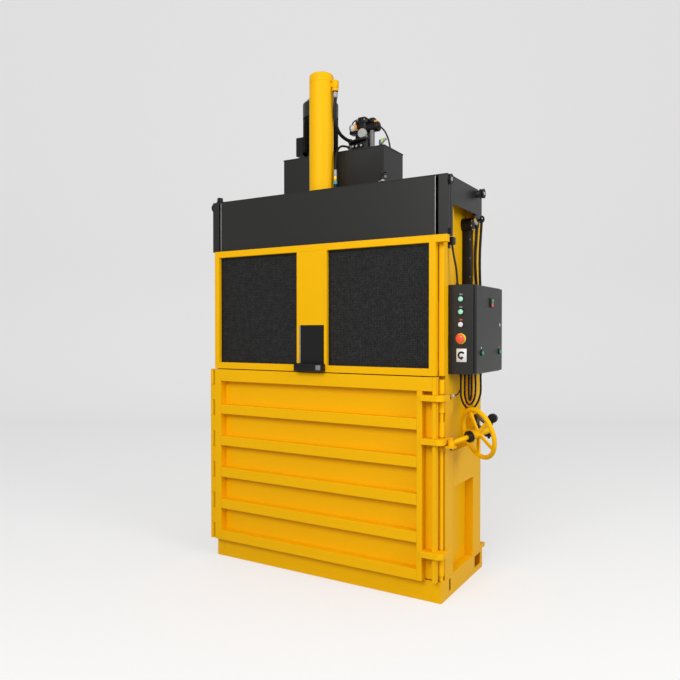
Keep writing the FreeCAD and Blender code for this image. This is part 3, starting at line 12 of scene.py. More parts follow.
import bmesh
import bpy
import numpy as np
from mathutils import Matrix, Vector


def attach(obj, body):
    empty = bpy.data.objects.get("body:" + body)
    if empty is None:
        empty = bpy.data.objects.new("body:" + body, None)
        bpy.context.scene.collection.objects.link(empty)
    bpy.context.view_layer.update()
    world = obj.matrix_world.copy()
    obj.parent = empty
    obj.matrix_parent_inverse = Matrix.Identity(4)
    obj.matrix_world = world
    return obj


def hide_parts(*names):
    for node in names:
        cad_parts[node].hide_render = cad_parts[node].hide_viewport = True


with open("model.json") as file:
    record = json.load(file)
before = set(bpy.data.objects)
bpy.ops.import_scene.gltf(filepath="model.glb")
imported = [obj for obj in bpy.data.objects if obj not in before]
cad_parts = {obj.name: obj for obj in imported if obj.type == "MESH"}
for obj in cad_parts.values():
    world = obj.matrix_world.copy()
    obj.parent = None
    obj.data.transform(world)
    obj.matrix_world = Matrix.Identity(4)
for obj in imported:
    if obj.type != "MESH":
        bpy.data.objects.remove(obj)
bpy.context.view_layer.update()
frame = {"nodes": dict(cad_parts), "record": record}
node_body = {node: body for body, nodes in frame["record"]["behaviour"]["bodies"].items()
             for node in nodes}

# %% [markdown]
# ## The camera
# The camera stands at eye height, right of the machine, and looks almost level at it. Its place
# was solved from the machine's own edges, so the lens and the turn follow from the same sum.

# %% Camera
IMAGE_SIDE = 680
FOCAL_PIXELS = 660.0
SENSOR = 36.0
CAMERA_PLACE = (2.30096, -3.94712, 1.59135)
CAMERA_TILT = math.radians(89.23)
CAMERA_TURN = math.radians(30.81)
camera_data = bpy.data.cameras.new("camera")
camera_data.sensor_width = SENSOR
camera_data.lens = SENSOR * FOCAL_PIXELS / IMAGE_SIDE
camera = bpy.data.objects.new("camera", camera_data)
camera.location = CAMERA_PLACE
camera.rotation_euler = (CAMERA_TILT, 0, CAMERA_TURN)
bpy.context.scene.collection.objects.link(camera)
bpy.context.scene.camera = camera
print("lens", round(camera_data.lens, 2), "mm")

# %% [markdown]
# ## Helpers for making surfaces
# Every new piece is a grid of points worked out with numpy, and the grid becomes a mesh in one
# go. A revolve turns a profile round an axis, and a soft block is a sphere's grid pulled apart
# into eight rounded corners. Both close themselves, so they also print as solids.

# %% Mesh helpers
RIGHT, LEFT, BACK, FRONT, UP, DOWN = ((1, 0, 0), (-1, 0, 0), (0, 1, 0), (0, -1, 0), (0, 0, 1),
                                      (0, 0, -1))
MERGE = 1e-6                # points nearer than this, in metres, are one point


def coloured(piece, finish):
    """Gives a part one finish over all its faces."""
    piece.data.materials.clear()
    piece.data.materials.append(finish)
    return piece


def mesh_object(name, finish, points, faces, smooth_angle=40):
    """Makes an object from points (N, 3) and faces; merges doubles and turns faces outwards."""
    mesh = bpy.data.meshes.new(name)
    mesh.from_pydata([tuple(p) for p in np.asarray(points, float)], [], faces)
    work = bmesh.new()
    work.from_mesh(mesh)
    bmesh.ops.remove_doubles(work, verts=work.verts, dist=MERGE)
    bmesh.ops.dissolve_degenerate(work, edges=work.edges, dist=MERGE / 10)
    bmesh.ops.recalc_face_normals(work, faces=work.faces)
    work.to_mesh(mesh)
    work.free()
    mesh.shade_smooth()
    mesh.set_sharp_from_angle(angle=math.radians(smooth_angle))
    piece = bpy.data.objects.new(name, mesh)
    bpy.context.scene.collection.objects.link(piece)
    return coloured(piece, finish)


def grid_faces(rows, columns, wrap_rows=False, wrap_columns=False):
    """Quads that join each grid point to its right and lower neighbours, as index arrays."""
    i = np.arange(rows if wrap_rows else rows - 1)
    j = np.arange(columns if wrap_columns else columns - 1)
    a, b = np.meshgrid(i, j, indexing="ij")
    down, right = (a + 1) % rows, (b + 1) % columns
    quads = np.stack([a * columns + b, down * columns + b, down * columns + right,
                      a * columns + right], axis=-1)
    return quads.reshape(-1, 4).tolist()


def frame_of(axis):
    """Three unit vectors: two across the axis and the axis itself."""
    w = np.asarray(axis, float)
    w = w / np.linalg.norm(w)
    helper = np.array([0.0, 0.0, 1.0]) if abs(w[2]) < 0.9 else np.array([1.0, 0.0, 0.0])
    u = np.cross(helper, w)
    u = u / np.linalg.norm(u)
    return u, np.cross(w, u), w


def turned(name, finish, profile, origin, axis=UP, steps=32, smooth_angle=40):
    """A revolve: point(s, t) = origin + r(s) (u cos t + v sin t) + h(s) w.

    The profile gives r and h in metres, from one end to the other. An end that isn't on the
    axis is closed by a flat disc.
    """
    u, v, w = frame_of(axis)
    start = [(0, profile[0][1])] if profile[0][0] else []
    end = [(0, profile[-1][1])] if profile[-1][0] else []
    r, h = np.array([*start, *profile, *end], float).T
    t = np.linspace(0, 2 * np.pi, steps, endpoint=False)
    across = np.cos(t)[None, :, None] * u + np.sin(t)[None, :, None] * v
    points = np.asarray(origin, float) + r[:, None, None] * across + h[:, None, None] * w
    faces = grid_faces(len(r), steps, wrap_columns=True)
    return mesh_object(name, finish, points.reshape(-1, 3), faces, smooth_angle)


def soft_block(name, finish, low, high, radius, steps=4):
    """A block with rounded edges: point = centre + sign * (half - radius) + radius * direction.

    The directions are a sphere's grid whose rows and columns are doubled where a sign changes,
    so that the doubled lines open into the flat sides.
    """
    low, high = np.array(low, float), np.array(high, float)
    half = (high - low) / 2
    radius = min(radius, *(half * 0.98))        # a little flat is always left
    quarter = np.linspace(0, np.pi / 2, steps)
    turn = np.concatenate([quarter + k * np.pi / 2 for k in range(4)])
    turn_sign = np.repeat([[1, 1], [-1, 1], [-1, -1], [1, -1]], steps, axis=0)
    rise = np.concatenate([np.linspace(-np.pi / 2, 0, steps), np.linspace(0, np.pi / 2, steps)])
    rise_sign = np.repeat([-1, 1], steps)
    a, b = np.meshgrid(rise, turn, indexing="ij")
    direction = np.stack([np.cos(a) * np.cos(b), np.cos(a) * np.sin(b), np.sin(a)], axis=-1)
    sign = np.zeros_like(direction)
    sign[..., :2] = turn_sign[None]
    sign[..., 2] = rise_sign[:, None]
    points = (low + high) / 2 + sign * (half - radius) + radius * direction
    rows, columns = points.shape[:2]
    faces = grid_faces(rows, columns, wrap_columns=True)
    faces += [list(range(columns))[::-1], list(range((rows - 1) * columns, rows * columns))]
    return mesh_object(name, finish, points.reshape(-1, 3), faces, 50)


def swept(name, finish, path, radius, across, sides=12):
    """A tube: point(s, t) = path(s) + radius (n(s) cos t + b sin t), its ends closed.

    The path lies in a plane, b is that plane's normal, and n is square to b and the path.
    """
    path, b = np.asarray(path, float), np.asarray(across, float)
    along = np.gradient(path, axis=0)
    along = along / np.linalg.norm(along, axis=1)[:, None]
    n = np.cross(b, along)
    t = np.linspace(0, 2 * np.pi, sides, endpoint=False)[None, :, None]
    points = path[:, None] + radius * (np.cos(t) * n[:, None] + np.sin(t) * b)
    last = (len(path) - 1) * sides
    faces = grid_faces(len(path), sides, wrap_columns=True)
    faces += [list(range(sides))[::-1], list(range(last, last + sides))]
    return mesh_object(name, finish, points.reshape(-1, 3), faces)


def ring_tube(name, finish, centre, axis, radius, tube, steps=(40, 14)):
    """A torus: point(a, b) = centre + (R + r cos b)(u cos a + v sin a) + r sin b w."""
    u, v, w = frame_of(axis)
    a, b = np.meshgrid(*(np.linspace(0, 2 * np.pi, n, endpoint=False) for n in steps),
                       indexing="ij")
    a, b = a[..., None], b[..., None]
    points = (np.asarray(centre, float) + (radius + tube * np.cos(b))
              * (np.cos(a) * u + np.sin(a) * v) + tube * np.sin(b) * w)
    return mesh_object(name, finish, points.reshape(-1, 3),
                       grid_faces(*steps, wrap_rows=True, wrap_columns=True))


def stub(name, finish, spot, axis, radius, length, steps=24):
    """A short straight pin: a revolve of the profile r = radius, h from 0 to length."""
    return turned(name, finish, [(radius, 0), (radius, length)], spot, axis, steps)


def hex_head(name, finish, spot, axis, radius, height):
    """A hexagonal head or nut: a revolve in six steps, chamfered over its last fifth."""
    chamfer_start, chamfer_end = 0.8 * height, 0.86 * radius
    profile = [(radius, 0), (radius, chamfer_start), (chamfer_end, height)]
    return turned(name, finish, profile, spot, axis, steps=6, smooth_angle=20)


def tint(piece, material, chosen):
    """Gives the faces for which chosen(centres) is true a second finish."""
    mesh = piece.data
    centres = np.empty(len(mesh.polygons) * 3)
    mesh.polygons.foreach_get("center", centres)
    index = np.empty(len(mesh.polygons), np.int32)
    mesh.polygons.foreach_get("material_index", index)
    mesh.materials.append(material)
    index[chosen(centres.reshape(-1, 3))] = len(mesh.materials) - 1
    mesh.polygons.foreach_set("material_index", index)
    return piece


def inside(low, high):
    """A test for tint: is a face's centre between two corners?"""
    return lambda centres: np.all((centres >= low) & (centres <= high), axis=1)


def joined(name, parts):
    """Several parts as one piece, each with its own finish."""
    work = bmesh.new()
    finishes = []
    for part in parts:
        finish = part.data.materials[0]
        if finish not in finishes:
            finishes.append(finish)
        number = np.full(len(part.data.polygons), finishes.index(finish), np.int32)
        part.data.polygons.foreach_set("material_index", number)
        work.from_mesh(part.data)
    mesh = bpy.data.meshes.new(name)
    work.to_mesh(mesh)
    work.free()
    for finish in finishes:
        mesh.materials.append(finish)
    whole = bpy.data.objects.new(name, mesh)
    bpy.context.scene.collection.objects.link(whole)
    for part in parts:
        bpy.data.objects.remove(part)
    return whole


def place(piece, body, slot, *nodes):
    """Gives a piece its body and hides the CAD nodes that it stands for; slot is not used."""
    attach(piece, body)
    if nodes:
        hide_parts(*nodes)
    return piece


print("helpers ready")

# %% [markdown]
# ## Effects that several finishes share
# Sprayed paint is never quite even: it has a fine orange-peel skin, and its colour drifts a
# little from one end of a plate to the other. Both come from one node group with named inputs,
# so that each material can set its own amount.


# %% Node groups
def new_group(name, inputs, outputs):
    """An empty shader group with named float or colour sockets."""
    group = bpy.data.node_groups.new(name, "ShaderNodeTree")
    for label, kind, value in inputs:
        socket = group.interface.new_socket(name=label, in_out="INPUT", socket_type=kind)
        socket.default_value = value
    for label, kind in outputs:
        group.interface.new_socket(name=label, in_out="OUTPUT", socket_type=kind)
    return group, group.nodes.new("NodeGroupInput"), group.nodes.new("NodeGroupOutput")


def math_node(tree, operation, a, b=None):
    """A Math node; a and b are sockets or numbers."""
    node = tree.nodes.new("ShaderNodeMath")
    node.operation = operation
    for slot_number, value in enumerate((a, b)):
        if value is None:
            continue
        if isinstance(value, (int, float)):
            node.inputs[slot_number].default_value = value
        else:
            tree.links.new(value, node.inputs[slot_number])
    return node.outputs[0]


def paint_drift_group():
    """Colour = paint x (1 + amount (noise - 0.5)); Height = fine noise for the skin."""
    tree, start, end = new_group(
        "paint_drift",
        [("Paint", "NodeSocketColor", (0.5, 0.5, 0.5, 1)), ("Amount", "NodeSocketFloat", 0.1),
         ("Drift scale", "NodeSocketFloat", 1.5), ("Skin scale", "NodeSocketFloat", 400.0)],
        [("Color", "NodeSocketColor"), ("Height", "NodeSocketFloat"), ("Drift", "NodeSocketFloat")])
    where = tree.nodes.new("ShaderNodeTexCoord")
    broad = tree.nodes.new("ShaderNodeTexNoise")
    broad.inputs["Detail"].default_value = 4
    tree.links.new(where.outputs["Object"], broad.inputs["Vector"])
    tree.links.new(start.outputs["Drift scale"], broad.inputs["Scale"])
    lifted = math_node(tree, "SUBTRACT", broad.outputs["Fac"], 0.5)
    scaled = math_node(tree, "MULTIPLY", lifted, start.outputs["Amount"])
    factor = math_node(tree, "ADD", scaled, 1.0)
    painted = tree.nodes.new("ShaderNodeVectorMath")
    painted.operation = "SCALE"
    tree.links.new(start.outputs["Paint"], painted.inputs[0])
    tree.links.new(factor, painted.inputs["Scale"])
    fine = tree.nodes.new("ShaderNodeTexNoise")
    fine.inputs["Detail"].default_value = 2
    tree.links.new(where.outputs["Object"], fine.inputs["Vector"])
    tree.links.new(start.outputs["Skin scale"], fine.inputs["Scale"])
    tree.links.new(painted.outputs[0], end.inputs["Color"])
    tree.links.new(fine.outputs["Fac"], end.inputs["Height"])
    tree.links.new(broad.outputs["Fac"], end.inputs["Drift"])
    return tree


paint_drift = paint_drift_group()


def new_material(name):
    """A material with its Principled shader, both ready to wire."""
    material = bpy.data.materials.new(name)
    material.use_nodes = True
    tree = material.node_tree
    return material, tree, tree.nodes["Principled BSDF"]


def add_group(tree, group, **values):
    """Places a node group and sets its named inputs."""
    node = tree.nodes.new("ShaderNodeGroup")
    node.node_tree = group
    for label, value in values.items():
        node.inputs[label.replace("_", " ")].default_value = value
    return node


def bump_from(tree, shader, height, strength, distance):
    """Feeds a height to the shader's normal."""
    bump = tree.nodes.new("ShaderNodeBump")
    bump.inputs["Strength"].default_value = strength
    bump.inputs["Distance"].default_value = distance
    tree.links.new(height, bump.inputs["Height"])
    tree.links.new(bump.outputs["Normal"], shader.inputs["Normal"])
    return bump


print("groups:", [g.name for g in bpy.data.node_groups])

# %% [markdown]
# ## The finishes
# Two sprayed paints cover almost everything: a glossy golden yellow and a dark grey with a fine
# texture. The rest is black rubber, bare and plated steel, brass, and a few coloured plastics.


# %% Materials
def sprayed(name, colour, roughness, drift=0.08, skin=350.0, bump=0.03, specular=0.5,
            metallic=0.0, coat=0.0):
    """Sprayed paint or plating: roughness runs from -0.05 to +0.07 about its middle value."""
    material, tree, shader = new_material(name)
    node = add_group(tree, paint_drift, Paint=(*colour, 1), Amount=drift, Skin_scale=skin)
    tree.links.new(node.outputs["Color"], shader.inputs["Base Color"])
    gloss = tree.nodes.new("ShaderNodeMapRange")
    gloss.inputs["To Min"].default_value = max(0.05, roughness - 0.05)
    gloss.inputs["To Max"].default_value = roughness + 0.07
    tree.links.new(node.outputs["Drift"], gloss.inputs["Value"])
    tree.links.new(gloss.outputs["Result"], shader.inputs["Roughness"])
    shader.inputs["Metallic"].default_value = metallic
    shader.inputs["Specular IOR Level"].default_value = specular
    shader.inputs["Coat Weight"].default_value = coat
    shader.inputs["Coat Roughness"].default_value = 0.12
    bump_from(tree, shader, node.outputs["Height"], bump, 0.001)
    return material


yellow = sprayed("yellow_paint", (0.870, 0.455, 0.0012), 0.42, 0.07, 260, 0.05, specular=0.09)
dark = sprayed("dark_paint", (0.018, 0.018, 0.0172), 0.38, 0.20, 900, 0.14, specular=0.28)
black = sprayed("black_plastic", (0.005, 0.005, 0.0055), 0.40, 0.2, 600, 0.1, specular=0.25)
rubber = sprayed("hose_rubber", (0.005, 0.005, 0.0055), 0.46, 0.2, 500, 0.12, specular=0.25)
steel = sprayed("plated_steel", (0.46, 0.46, 0.45), 0.30, 0.15, 300, 0.08, metallic=1.0)
brass = sprayed("gilt_nut", (0.70, 0.42, 0.05), 0.28, 0.1, 300, 0.05, metallic=1.0)
silver = sprayed("cast_aluminium", (0.42, 0.42, 0.41), 0.42, 0.12, 700, 0.2, metallic=0.6)
white = sprayed("white_plastic", (0.70, 0.70, 0.69), 0.45, 0.05, 400, 0.04)
mint = sprayed("mint_lens", (0.33, 0.74, 0.55), 0.25, 0.05, 400, 0.03, coat=0.3)
red = sprayed("red_plastic", (0.80, 0.085, 0.03), 0.38, 0.05, 400, 0.04, coat=0.2)
orange = sprayed("orange_plastic", (0.80, 0.27, 0.01), 0.38, 0.08, 400, 0.04)
teal = sprayed("teal_cap", (0.01, 0.30, 0.40), 0.38, 0.08, 400, 0.04)
green = sprayed("green_plastic", (0.02, 0.36, 0.16), 0.38, 0.08, 400, 0.04)
blue = sprayed("blue_plastic", (0.03, 0.08, 0.30), 0.38, 0.08, 400, 0.04)
lime = sprayed("lime_plastic", (0.50, 0.62, 0.03), 0.38, 0.08, 400, 0.04)
grey_plate = sprayed("grey_plate", (0.16, 0.16, 0.16), 0.45, 0.1, 500, 0.08)
pale_grey = sprayed("pale_grey_cap", (0.40, 0.40, 0.39), 0.45, 0.1, 500, 0.08)
collar_yellow = sprayed("collar_yellow", (0.85, 0.60, 0.01), 0.4, 0.06, 300, 0.04)
handle_grey = sprayed("handle_grey", (0.20, 0.20, 0.20), 0.45, 0.1, 500, 0.08)


def perforated_sheet():
    """Black sheet with a close pattern of small holes: a cell's distance marks each hole."""
    material, tree, shader = new_material("perforated_sheet")
    where = tree.nodes.new("ShaderNodeTexCoord")
    holes = tree.nodes.new("ShaderNodeTexVoronoi")
    holes.inputs["Scale"].default_value = 95.0
    holes.inputs["Randomness"].default_value = 0.35
    tree.links.new(where.outputs["Object"], holes.inputs["Vector"])
    patches = tree.nodes.new("ShaderNodeTexNoise")
    patches.inputs["Scale"].default_value = 26.0
    patches.inputs["Detail"].default_value = 6
    patches.inputs["Roughness"].default_value = 0.7
    tree.links.new(where.outputs["Object"], patches.inputs["Vector"])
    edge = tree.nodes.new("ShaderNodeMapRange")
    edge.inputs["From Min"].default_value = 0.28
    edge.inputs["From Max"].default_value = 0.5
    tree.links.new(holes.outputs["Distance"], edge.inputs["Value"])
    tone = tree.nodes.new("ShaderNodeMapRange")
    tone.inputs["From Min"].default_value = 0.3
    tone.inputs["From Max"].default_value = 0.7
    tone.inputs["To Min"].default_value = 0.35
    tone.inputs["To Max"].default_value = 1.0
    tree.links.new(patches.outputs["Fac"], tone.inputs["Value"])
    mixed = math_node(tree, "MULTIPLY", edge.outputs["Result"], tone.outputs["Result"])
    colour = tree.nodes.new("ShaderNodeMix")
    colour.data_type = "RGBA"
    factor, hole, metal, result = 0, 6, 7, 2            # a colour mix's sockets have no own names
    colour.inputs[hole].default_value = (0.003, 0.003, 0.003, 1)
    colour.inputs[metal].default_value = (0.030, 0.030, 0.030, 1)
    tree.links.new(mixed, colour.inputs[factor])
    tree.links.new(colour.outputs[result], shader.inputs["Base Color"])
    shader.inputs["Roughness"].default_value = 0.6
    shader.inputs["Specular IOR Level"].default_value = 0.15
    bump_from(tree, shader, edge.outputs["Result"], 0.5, 0.002)
    return material


mesh_black = perforated_sheet()
print("materials:", len(bpy.data.materials))

# %% [markdown]
# ## Hoses and cables
# The oil hoses, the leads to the cabinet and the hanging cable loops are flexible lines of fixed
# length. Each is a NURBS curve whose control points are the corners of its real route, so it
# bends smoothly where the line would.


# %% Cords
def route_curve(name, points, radius):
    """A round NURBS line through the route's control points."""
    data = bpy.data.curves.new(name, "CURVE")
    data.dimensions = "3D"
    line = data.splines.new("NURBS")
    line.points.add(len(points) - 1)
    for spot, point in zip(line.points, points):
        spot.co = (*point, 1)
    line.order_u = 3
    line.use_endpoint_u = True
    line.resolution_u = 8
    data.bevel_depth = radius
    data.bevel_resolution = 5
    data.use_fill_caps = True
    piece = bpy.data.objects.new(name, data)
    bpy.context.scene.collection.objects.link(piece)
    return piece


def hanging_route(first, last, drop, bulge=0.005, start=0.0004):
    """Corner points of a U between two glands: straight legs, then half an octagon."""
    (x1, y1, z), (x2, y2, _) = first, last
    half = abs(y2 - y1) / 2
    flat = half * math.tan(math.pi / 8)
    low = drop - half + flat
    left = [(start, 0), (low / 2, -bulge), (low, 0), (drop, half - flat)]
    levels = left + [(deep, 2 * half - across) for deep, across in reversed(left)]
    return [(x1 + (x2 - x1) * across / (2 * half), y1 + (y2 - y1) * across / (2 * half), z - deep)
            for deep, across in levels]


GLAND_END = 1.313           # the height at which the cabinet's glands let the cables out
CORDS = {                   # radius, route, length and stiffness of each flexible line
    "pressure_hose": (0.0115, [(0.061, -0.250, 3.1122), (0.053, -0.248, 3.040),
                               (0.048, -0.232, 2.962), (0.047, -0.190, 2.908),
                               (0.053, -0.126, 2.880), (0.061, -0.0711, 2.876)], 0.344, "medium"),
    "return_hose": (0.007, [(0.061, -0.0688, 2.832), (0.061, -0.136, 2.828),
                            (0.060, -0.200, 2.806), (0.060, -0.238, 2.752),
                            (0.061, -0.249, 2.696), (0.061, -0.250, 2.6442)], 0.307, "medium"),
    "pilot_hose": (0.0055, [(0.2544, 0, 2.964), (0.284, 0.008, 2.942), (0.302, 0.034, 2.888),
                            (0.308, 0.052, 2.834), (0.310, 0.058, 2.7928)], 0.198, "medium"),
    "side_cable_front": (0.0085, [(0.862, 0.203, 1.8794), (0.862, 0.176, 1.985),
                                  (0.862, 0.176, 2.105), (0.862, 0.200, 2.195),
                                  (0.862, 0.204, 2.2612)], 0.387, "medium"),
    "side_cable_rear": (0.0085, [(0.884, 0.210, 1.8784), (0.884, 0.196, 1.985),
                                 (0.883, 0.202, 2.105), (0.878, 0.236, 2.221),
                                 (0.872, 0.268, 2.3113)], 0.444, "medium"),
    "switch_cable": (0.0060, [(0.874, -0.265, 2.0992), (0.886, -0.269, 2.030),
                              (0.903, -0.265, 1.950), (0.900, -0.247, 1.8784)], 0.225, "medium"),
    "cable_loop_outer": (0.0062, hanging_route((0.898, -0.176, GLAND_END),
                                               (0.940, 0.056, GLAND_END), 0.198), 0.537, "limp"),
    "cable_loop_middle": (0.0062, hanging_route((0.905, -0.128, GLAND_END),
                                                (0.918, 0.022, GLAND_END), 0.172), 0.432, "limp"),
    "cable_loop_inner": (0.0062, hanging_route((0.914, -0.084, GLAND_END),
                                               (0.898, 0.006, GLAND_END), 0.148), 0.350, "limp"),
    "sensor_cable": (0.0036, [(0.866, -0.1709, 1.205), (0.869, -0.128, 1.214),
                              (0.876, -0.110, 1.264), (0.878, -0.126, 1.3116)], 0.143, "limp"),
}
for node, (radius, route, length, stiffness) in CORDS.items():
    piece = place(coloured(route_curve(node + "_line", route, radius), rubber), "frame",
                  "rubber", node)
print("cords:", len(CORDS))

# %% [markdown]
# ## Dressing the CAD solids
# Plates and tubes have small rounded edges that catch the light. A copy of each solid gets its
# doubled points merged and its flat faces joined, and then a bevel of a few millimetres on the
# edges that turn sharply. The copy stands in for the solid.


# %% Bevelled copies
def dress(node, material, slot, width=0.002, segments=2, angle=30):
    """A merged copy of a CAD node with soft edges."""
    source = frame["nodes"][node]
    mesh = source.data.copy()
    mesh.name = node + "_dressed"
    work = bmesh.new()
    work.from_mesh(mesh)
    bmesh.ops.remove_doubles(work, verts=work.verts, dist=2e-6)
    bmesh.ops.dissolve_limit(work, angle_limit=math.radians(1), verts=work.verts,
                             edges=work.edges)
    work.to_mesh(mesh)
    work.free()
    mesh.shade_smooth()
    mesh.set_sharp_from_angle(angle=math.radians(angle))
    piece = bpy.data.objects.new(node + "_dressed", mesh)
    bpy.context.scene.collection.objects.link(piece)
    if width:
        bevel = piece.modifiers.new("soft_edges", "BEVEL")
        bevel.width = width
        bevel.segments = segments
        bevel.limit_method = "ANGLE"
        bevel.angle_limit = math.radians(angle)
        bevel.harden_normals = True
    return place(coloured(piece, material), node_body[node], slot, node)


YELLOW = {                  # each node's bevel width; 0 leaves its edges as they are
    "base_side_beams": 0.002, "base_cross_members": 0.002, "chamber_floor": 0, "front_posts": 0.003,
    "rear_posts": 0.003, "side_walls": 0, "side_belts": 0.001, "rear_wall": 0, "door_skin": 0,
    "door_ribs": 0.003, "door_upright_bars": 0.002, "door_top_bar": 0.002, "door_lugs": 0.002,
    "hinge_knuckles_frame": 0.0015, "hinge_knuckles_door": 0.0015, "hinge_mount": 0.001,
    "feed_door_frame": 0.002, "feed_centre_plate": 0.0005, "lock_collars": 0.0015,
    "lock_lever": 0.0015, "lock_pin": 0.001, "lock_spindle": 0.001, "handwheel": 0,
    "platen": 0.001, "crosshead": 0.002, "gate_guides": 0.002,
}
DARK = {
    "head_deck": 0.001, "head_panels": 0.0015, "corner_channels": 0.0015, "oil_tank": 0.0015,
    "control_cabinet": 0.003, "cabinet_door": 0.004, "pump_motor": 0,
}
BLACK = {"feed_latch_plate": 0.001, "spindle_bracket": 0.001, "lift_channel": 0.001,
         "lift_cables": 0}
STEEL = {"hinge_pin": 0.001, "ram_rod": 0, "feed_door_rollers": 0.001}
dressed = {}
for group, material, slot in ((YELLOW, yellow, "yellow_paint"), (DARK, dark, "dark_paint"),
                              (BLACK, black, "dark_paint"), (STEEL, steel, "steel")):
    for node, width in group.items():
        dressed[node] = dress(node, material, slot, width)
dressed["feed_mesh"] = dress("feed_mesh", mesh_black, "mesh", 0)
print("dressed:", len(dressed))

# %% [markdown]
# ## Second finishes on one solid
# Some solids carry more than one finish: the left gate guide is dark while the right one is
# yellow, the nuts under the lock lever are black, and a black ring sits on the spindle. The
# faces are chosen by where their centres lie.

# %% Tints
MOTOR_FINS_END, MOTOR_CONE = 3.080, 3.1835
tint(dressed["gate_guides"], dark, lambda c: c[:, 0] < 0)
tint(dressed["pump_motor"], grey_plate, lambda c: c[:, 2] > MOTOR_CONE)
tint(dressed["pump_motor"], black, lambda c: c[:, 2] < MOTOR_FINS_END)
tint(dressed["oil_tank"], grey_plate, inside((0.326, -0.157, 2.499), (0.3640, -0.150, 2.5605)))
spin = next(joint for joint in frame["record"]["behaviour"]["joints"]
            if joint["name"] == "handwheel_spin")
WHEEL = np.array(spin["pos_m"])
FORK = np.array([0.908, -0.360, 0.9453])
SPINDLE = (WHEEL - FORK) / np.linalg.norm(WHEEL - FORK)


def along_spindle(centres):
    """How far along the spindle a point lies, and how far from its middle line."""
    reach = (centres - FORK) @ SPINDLE
    return reach, np.linalg.norm(centres - FORK - reach[:, None] * SPINDLE, axis=1)


def on_ring(centres, start=0.1265, end=0.1435, sleeve=0.0145):
    """The clamp ring stands out from the sleeve in front of the wheel."""
    reach, away = along_spindle(centres)
    return (reach > start) & (reach < end) & (away > sleeve)


def on_nuts(centres, left=0.896, fork_low=0.916, fork_high=0.963):
    """The lever's nuts lie above and below its fork, right of the pin."""
    x, z = centres[:, 0], centres[:, 2]
    return (x > left) & ((z > fork_high) | (z < fork_low))


tint(dressed["lock_spindle"], black, on_ring)
tint(dressed["lock_lever"], black, on_nuts)
clamp = turned("spindle_clamp", black, [(0.033, 0), (0.0345, 0.003), (0.0345, 0.023),
                                        (0.033, 0.026)], FORK + 0.1165 * SPINDLE, SPINDLE, 40)
place(clamp, node_body["lock_spindle"], "dark_paint")
print("two-tone pieces:", [o.name for o in dressed.values() if len(o.data.materials) > 1])

# %% [markdown]
# ## The press cylinder and its port
# The cylinder is a drawn tube with a welded end cap, so it is a revolve: a long straight side, a
# fine groove where the cap begins, and a rounded rim. A yellow elbow with a hexagonal nut takes
# the pressure hose, and each hose ends in a ribbed crimp ferrule.

# %% Cylinder and hose ends
PRESS_X, PRESS_Y = -0.046, -0.250           # the cylinder's middle line
PORT_X = 0.061                              # the oil hoses hang here, right of the cylinder
TUBE, FOOT, TOP = 0.080, 2.334, 3.279       # the tube's radius and its two ends
GROOVE = 3.2165                             # where the welded cap begins
barrel = turned("cylinder_barrel_turned", yellow, [(TUBE, FOOT), (TUBE, GROOVE),
                                                   (TUBE - 0.0015, GROOVE + 0.0015),
                                                   (TUBE - 0.0015, GROOVE + 0.0045),
                                                   (TUBE, GROOVE + 0.006), (TUBE, TOP - 0.016),
                                                   (TUBE - 0.0028, TOP - 0.0075),
                                                   (TUBE - 0.010, TOP - 0.0015),
                                                   (TUBE - 0.020, TOP)], (PRESS_X, PRESS_Y, 0),
                steps=96)
place(barrel, "frame", "yellow_paint", "cylinder_barrel")


def ferrule(name, finish, spot, axis, radius, length, ribs=3):
    """A crimped sleeve: a revolve whose radius dips between its ribs and narrows at the end."""
    h = np.linspace(0, length, 6 * ribs + 1)
    r = radius * (1 - 0.12 * np.cos(np.pi * ribs * 2 * h / length) ** 8)
    r[-1] = 0.8 * radius
    return turned(name, finish, list(zip(r, h)), spot, axis, steps=24)


elbow = [
    stub("elbow_stub", yellow, (0.030, PRESS_Y, 3.198), RIGHT, 0.015, 0.034),
    soft_block("elbow_body", yellow, (0.044, -0.268, 3.172), (0.080, -0.232, 3.226), 0.008),
    hex_head("elbow_nut", yellow, (PORT_X, PRESS_Y, 3.172), DOWN, 0.0205, 0.018),
    turned("elbow_seal", black, [(0.017, 0), (0.0185, 0.003), (0.017, 0.006)],
           (PORT_X, PRESS_Y, 3.154), DOWN, 24),
    ferrule("pressure_ferrule", silver, (PORT_X, PRESS_Y, 3.148), DOWN, 0.0155, 0.036),
    ferrule("return_ferrule", silver, (PORT_X, PRESS_Y, 2.596), UP, 0.0108, 0.048),
    hex_head("return_nut", brass, (PORT_X, PRESS_Y, 2.596), DOWN, 0.0145, 0.028),
    stub("return_cap", teal, (PORT_X, PRESS_Y, 2.568), DOWN, 0.0125, 0.018),
    stub("return_stem", black, (PORT_X, PRESS_Y, 2.550), DOWN, 0.009, 0.050),
]
for level in (2.876, 2.832):
    elbow += [
        hex_head(f"socket_{level}", black, (PORT_X, -0.050, level), FRONT, 0.018, 0.012),
        stub(f"socket_end_{level}", grey_plate, (PORT_X, -0.062, level), FRONT, 0.0145, 0.007, 20)]
place(joined("hose_end_set", elbow), "frame", "steel", "hose_fittings")
print("hose ends:", len(elbow))

# %% [markdown]
# ## The valve group
# On the tank's lid stands a manifold block with a directional valve on it. Its left solenoid is
# a bright can with an orange band, its right one is black, and a pale round cap faces the front.
# The group is many small revolves and soft blocks, joined to one piece.

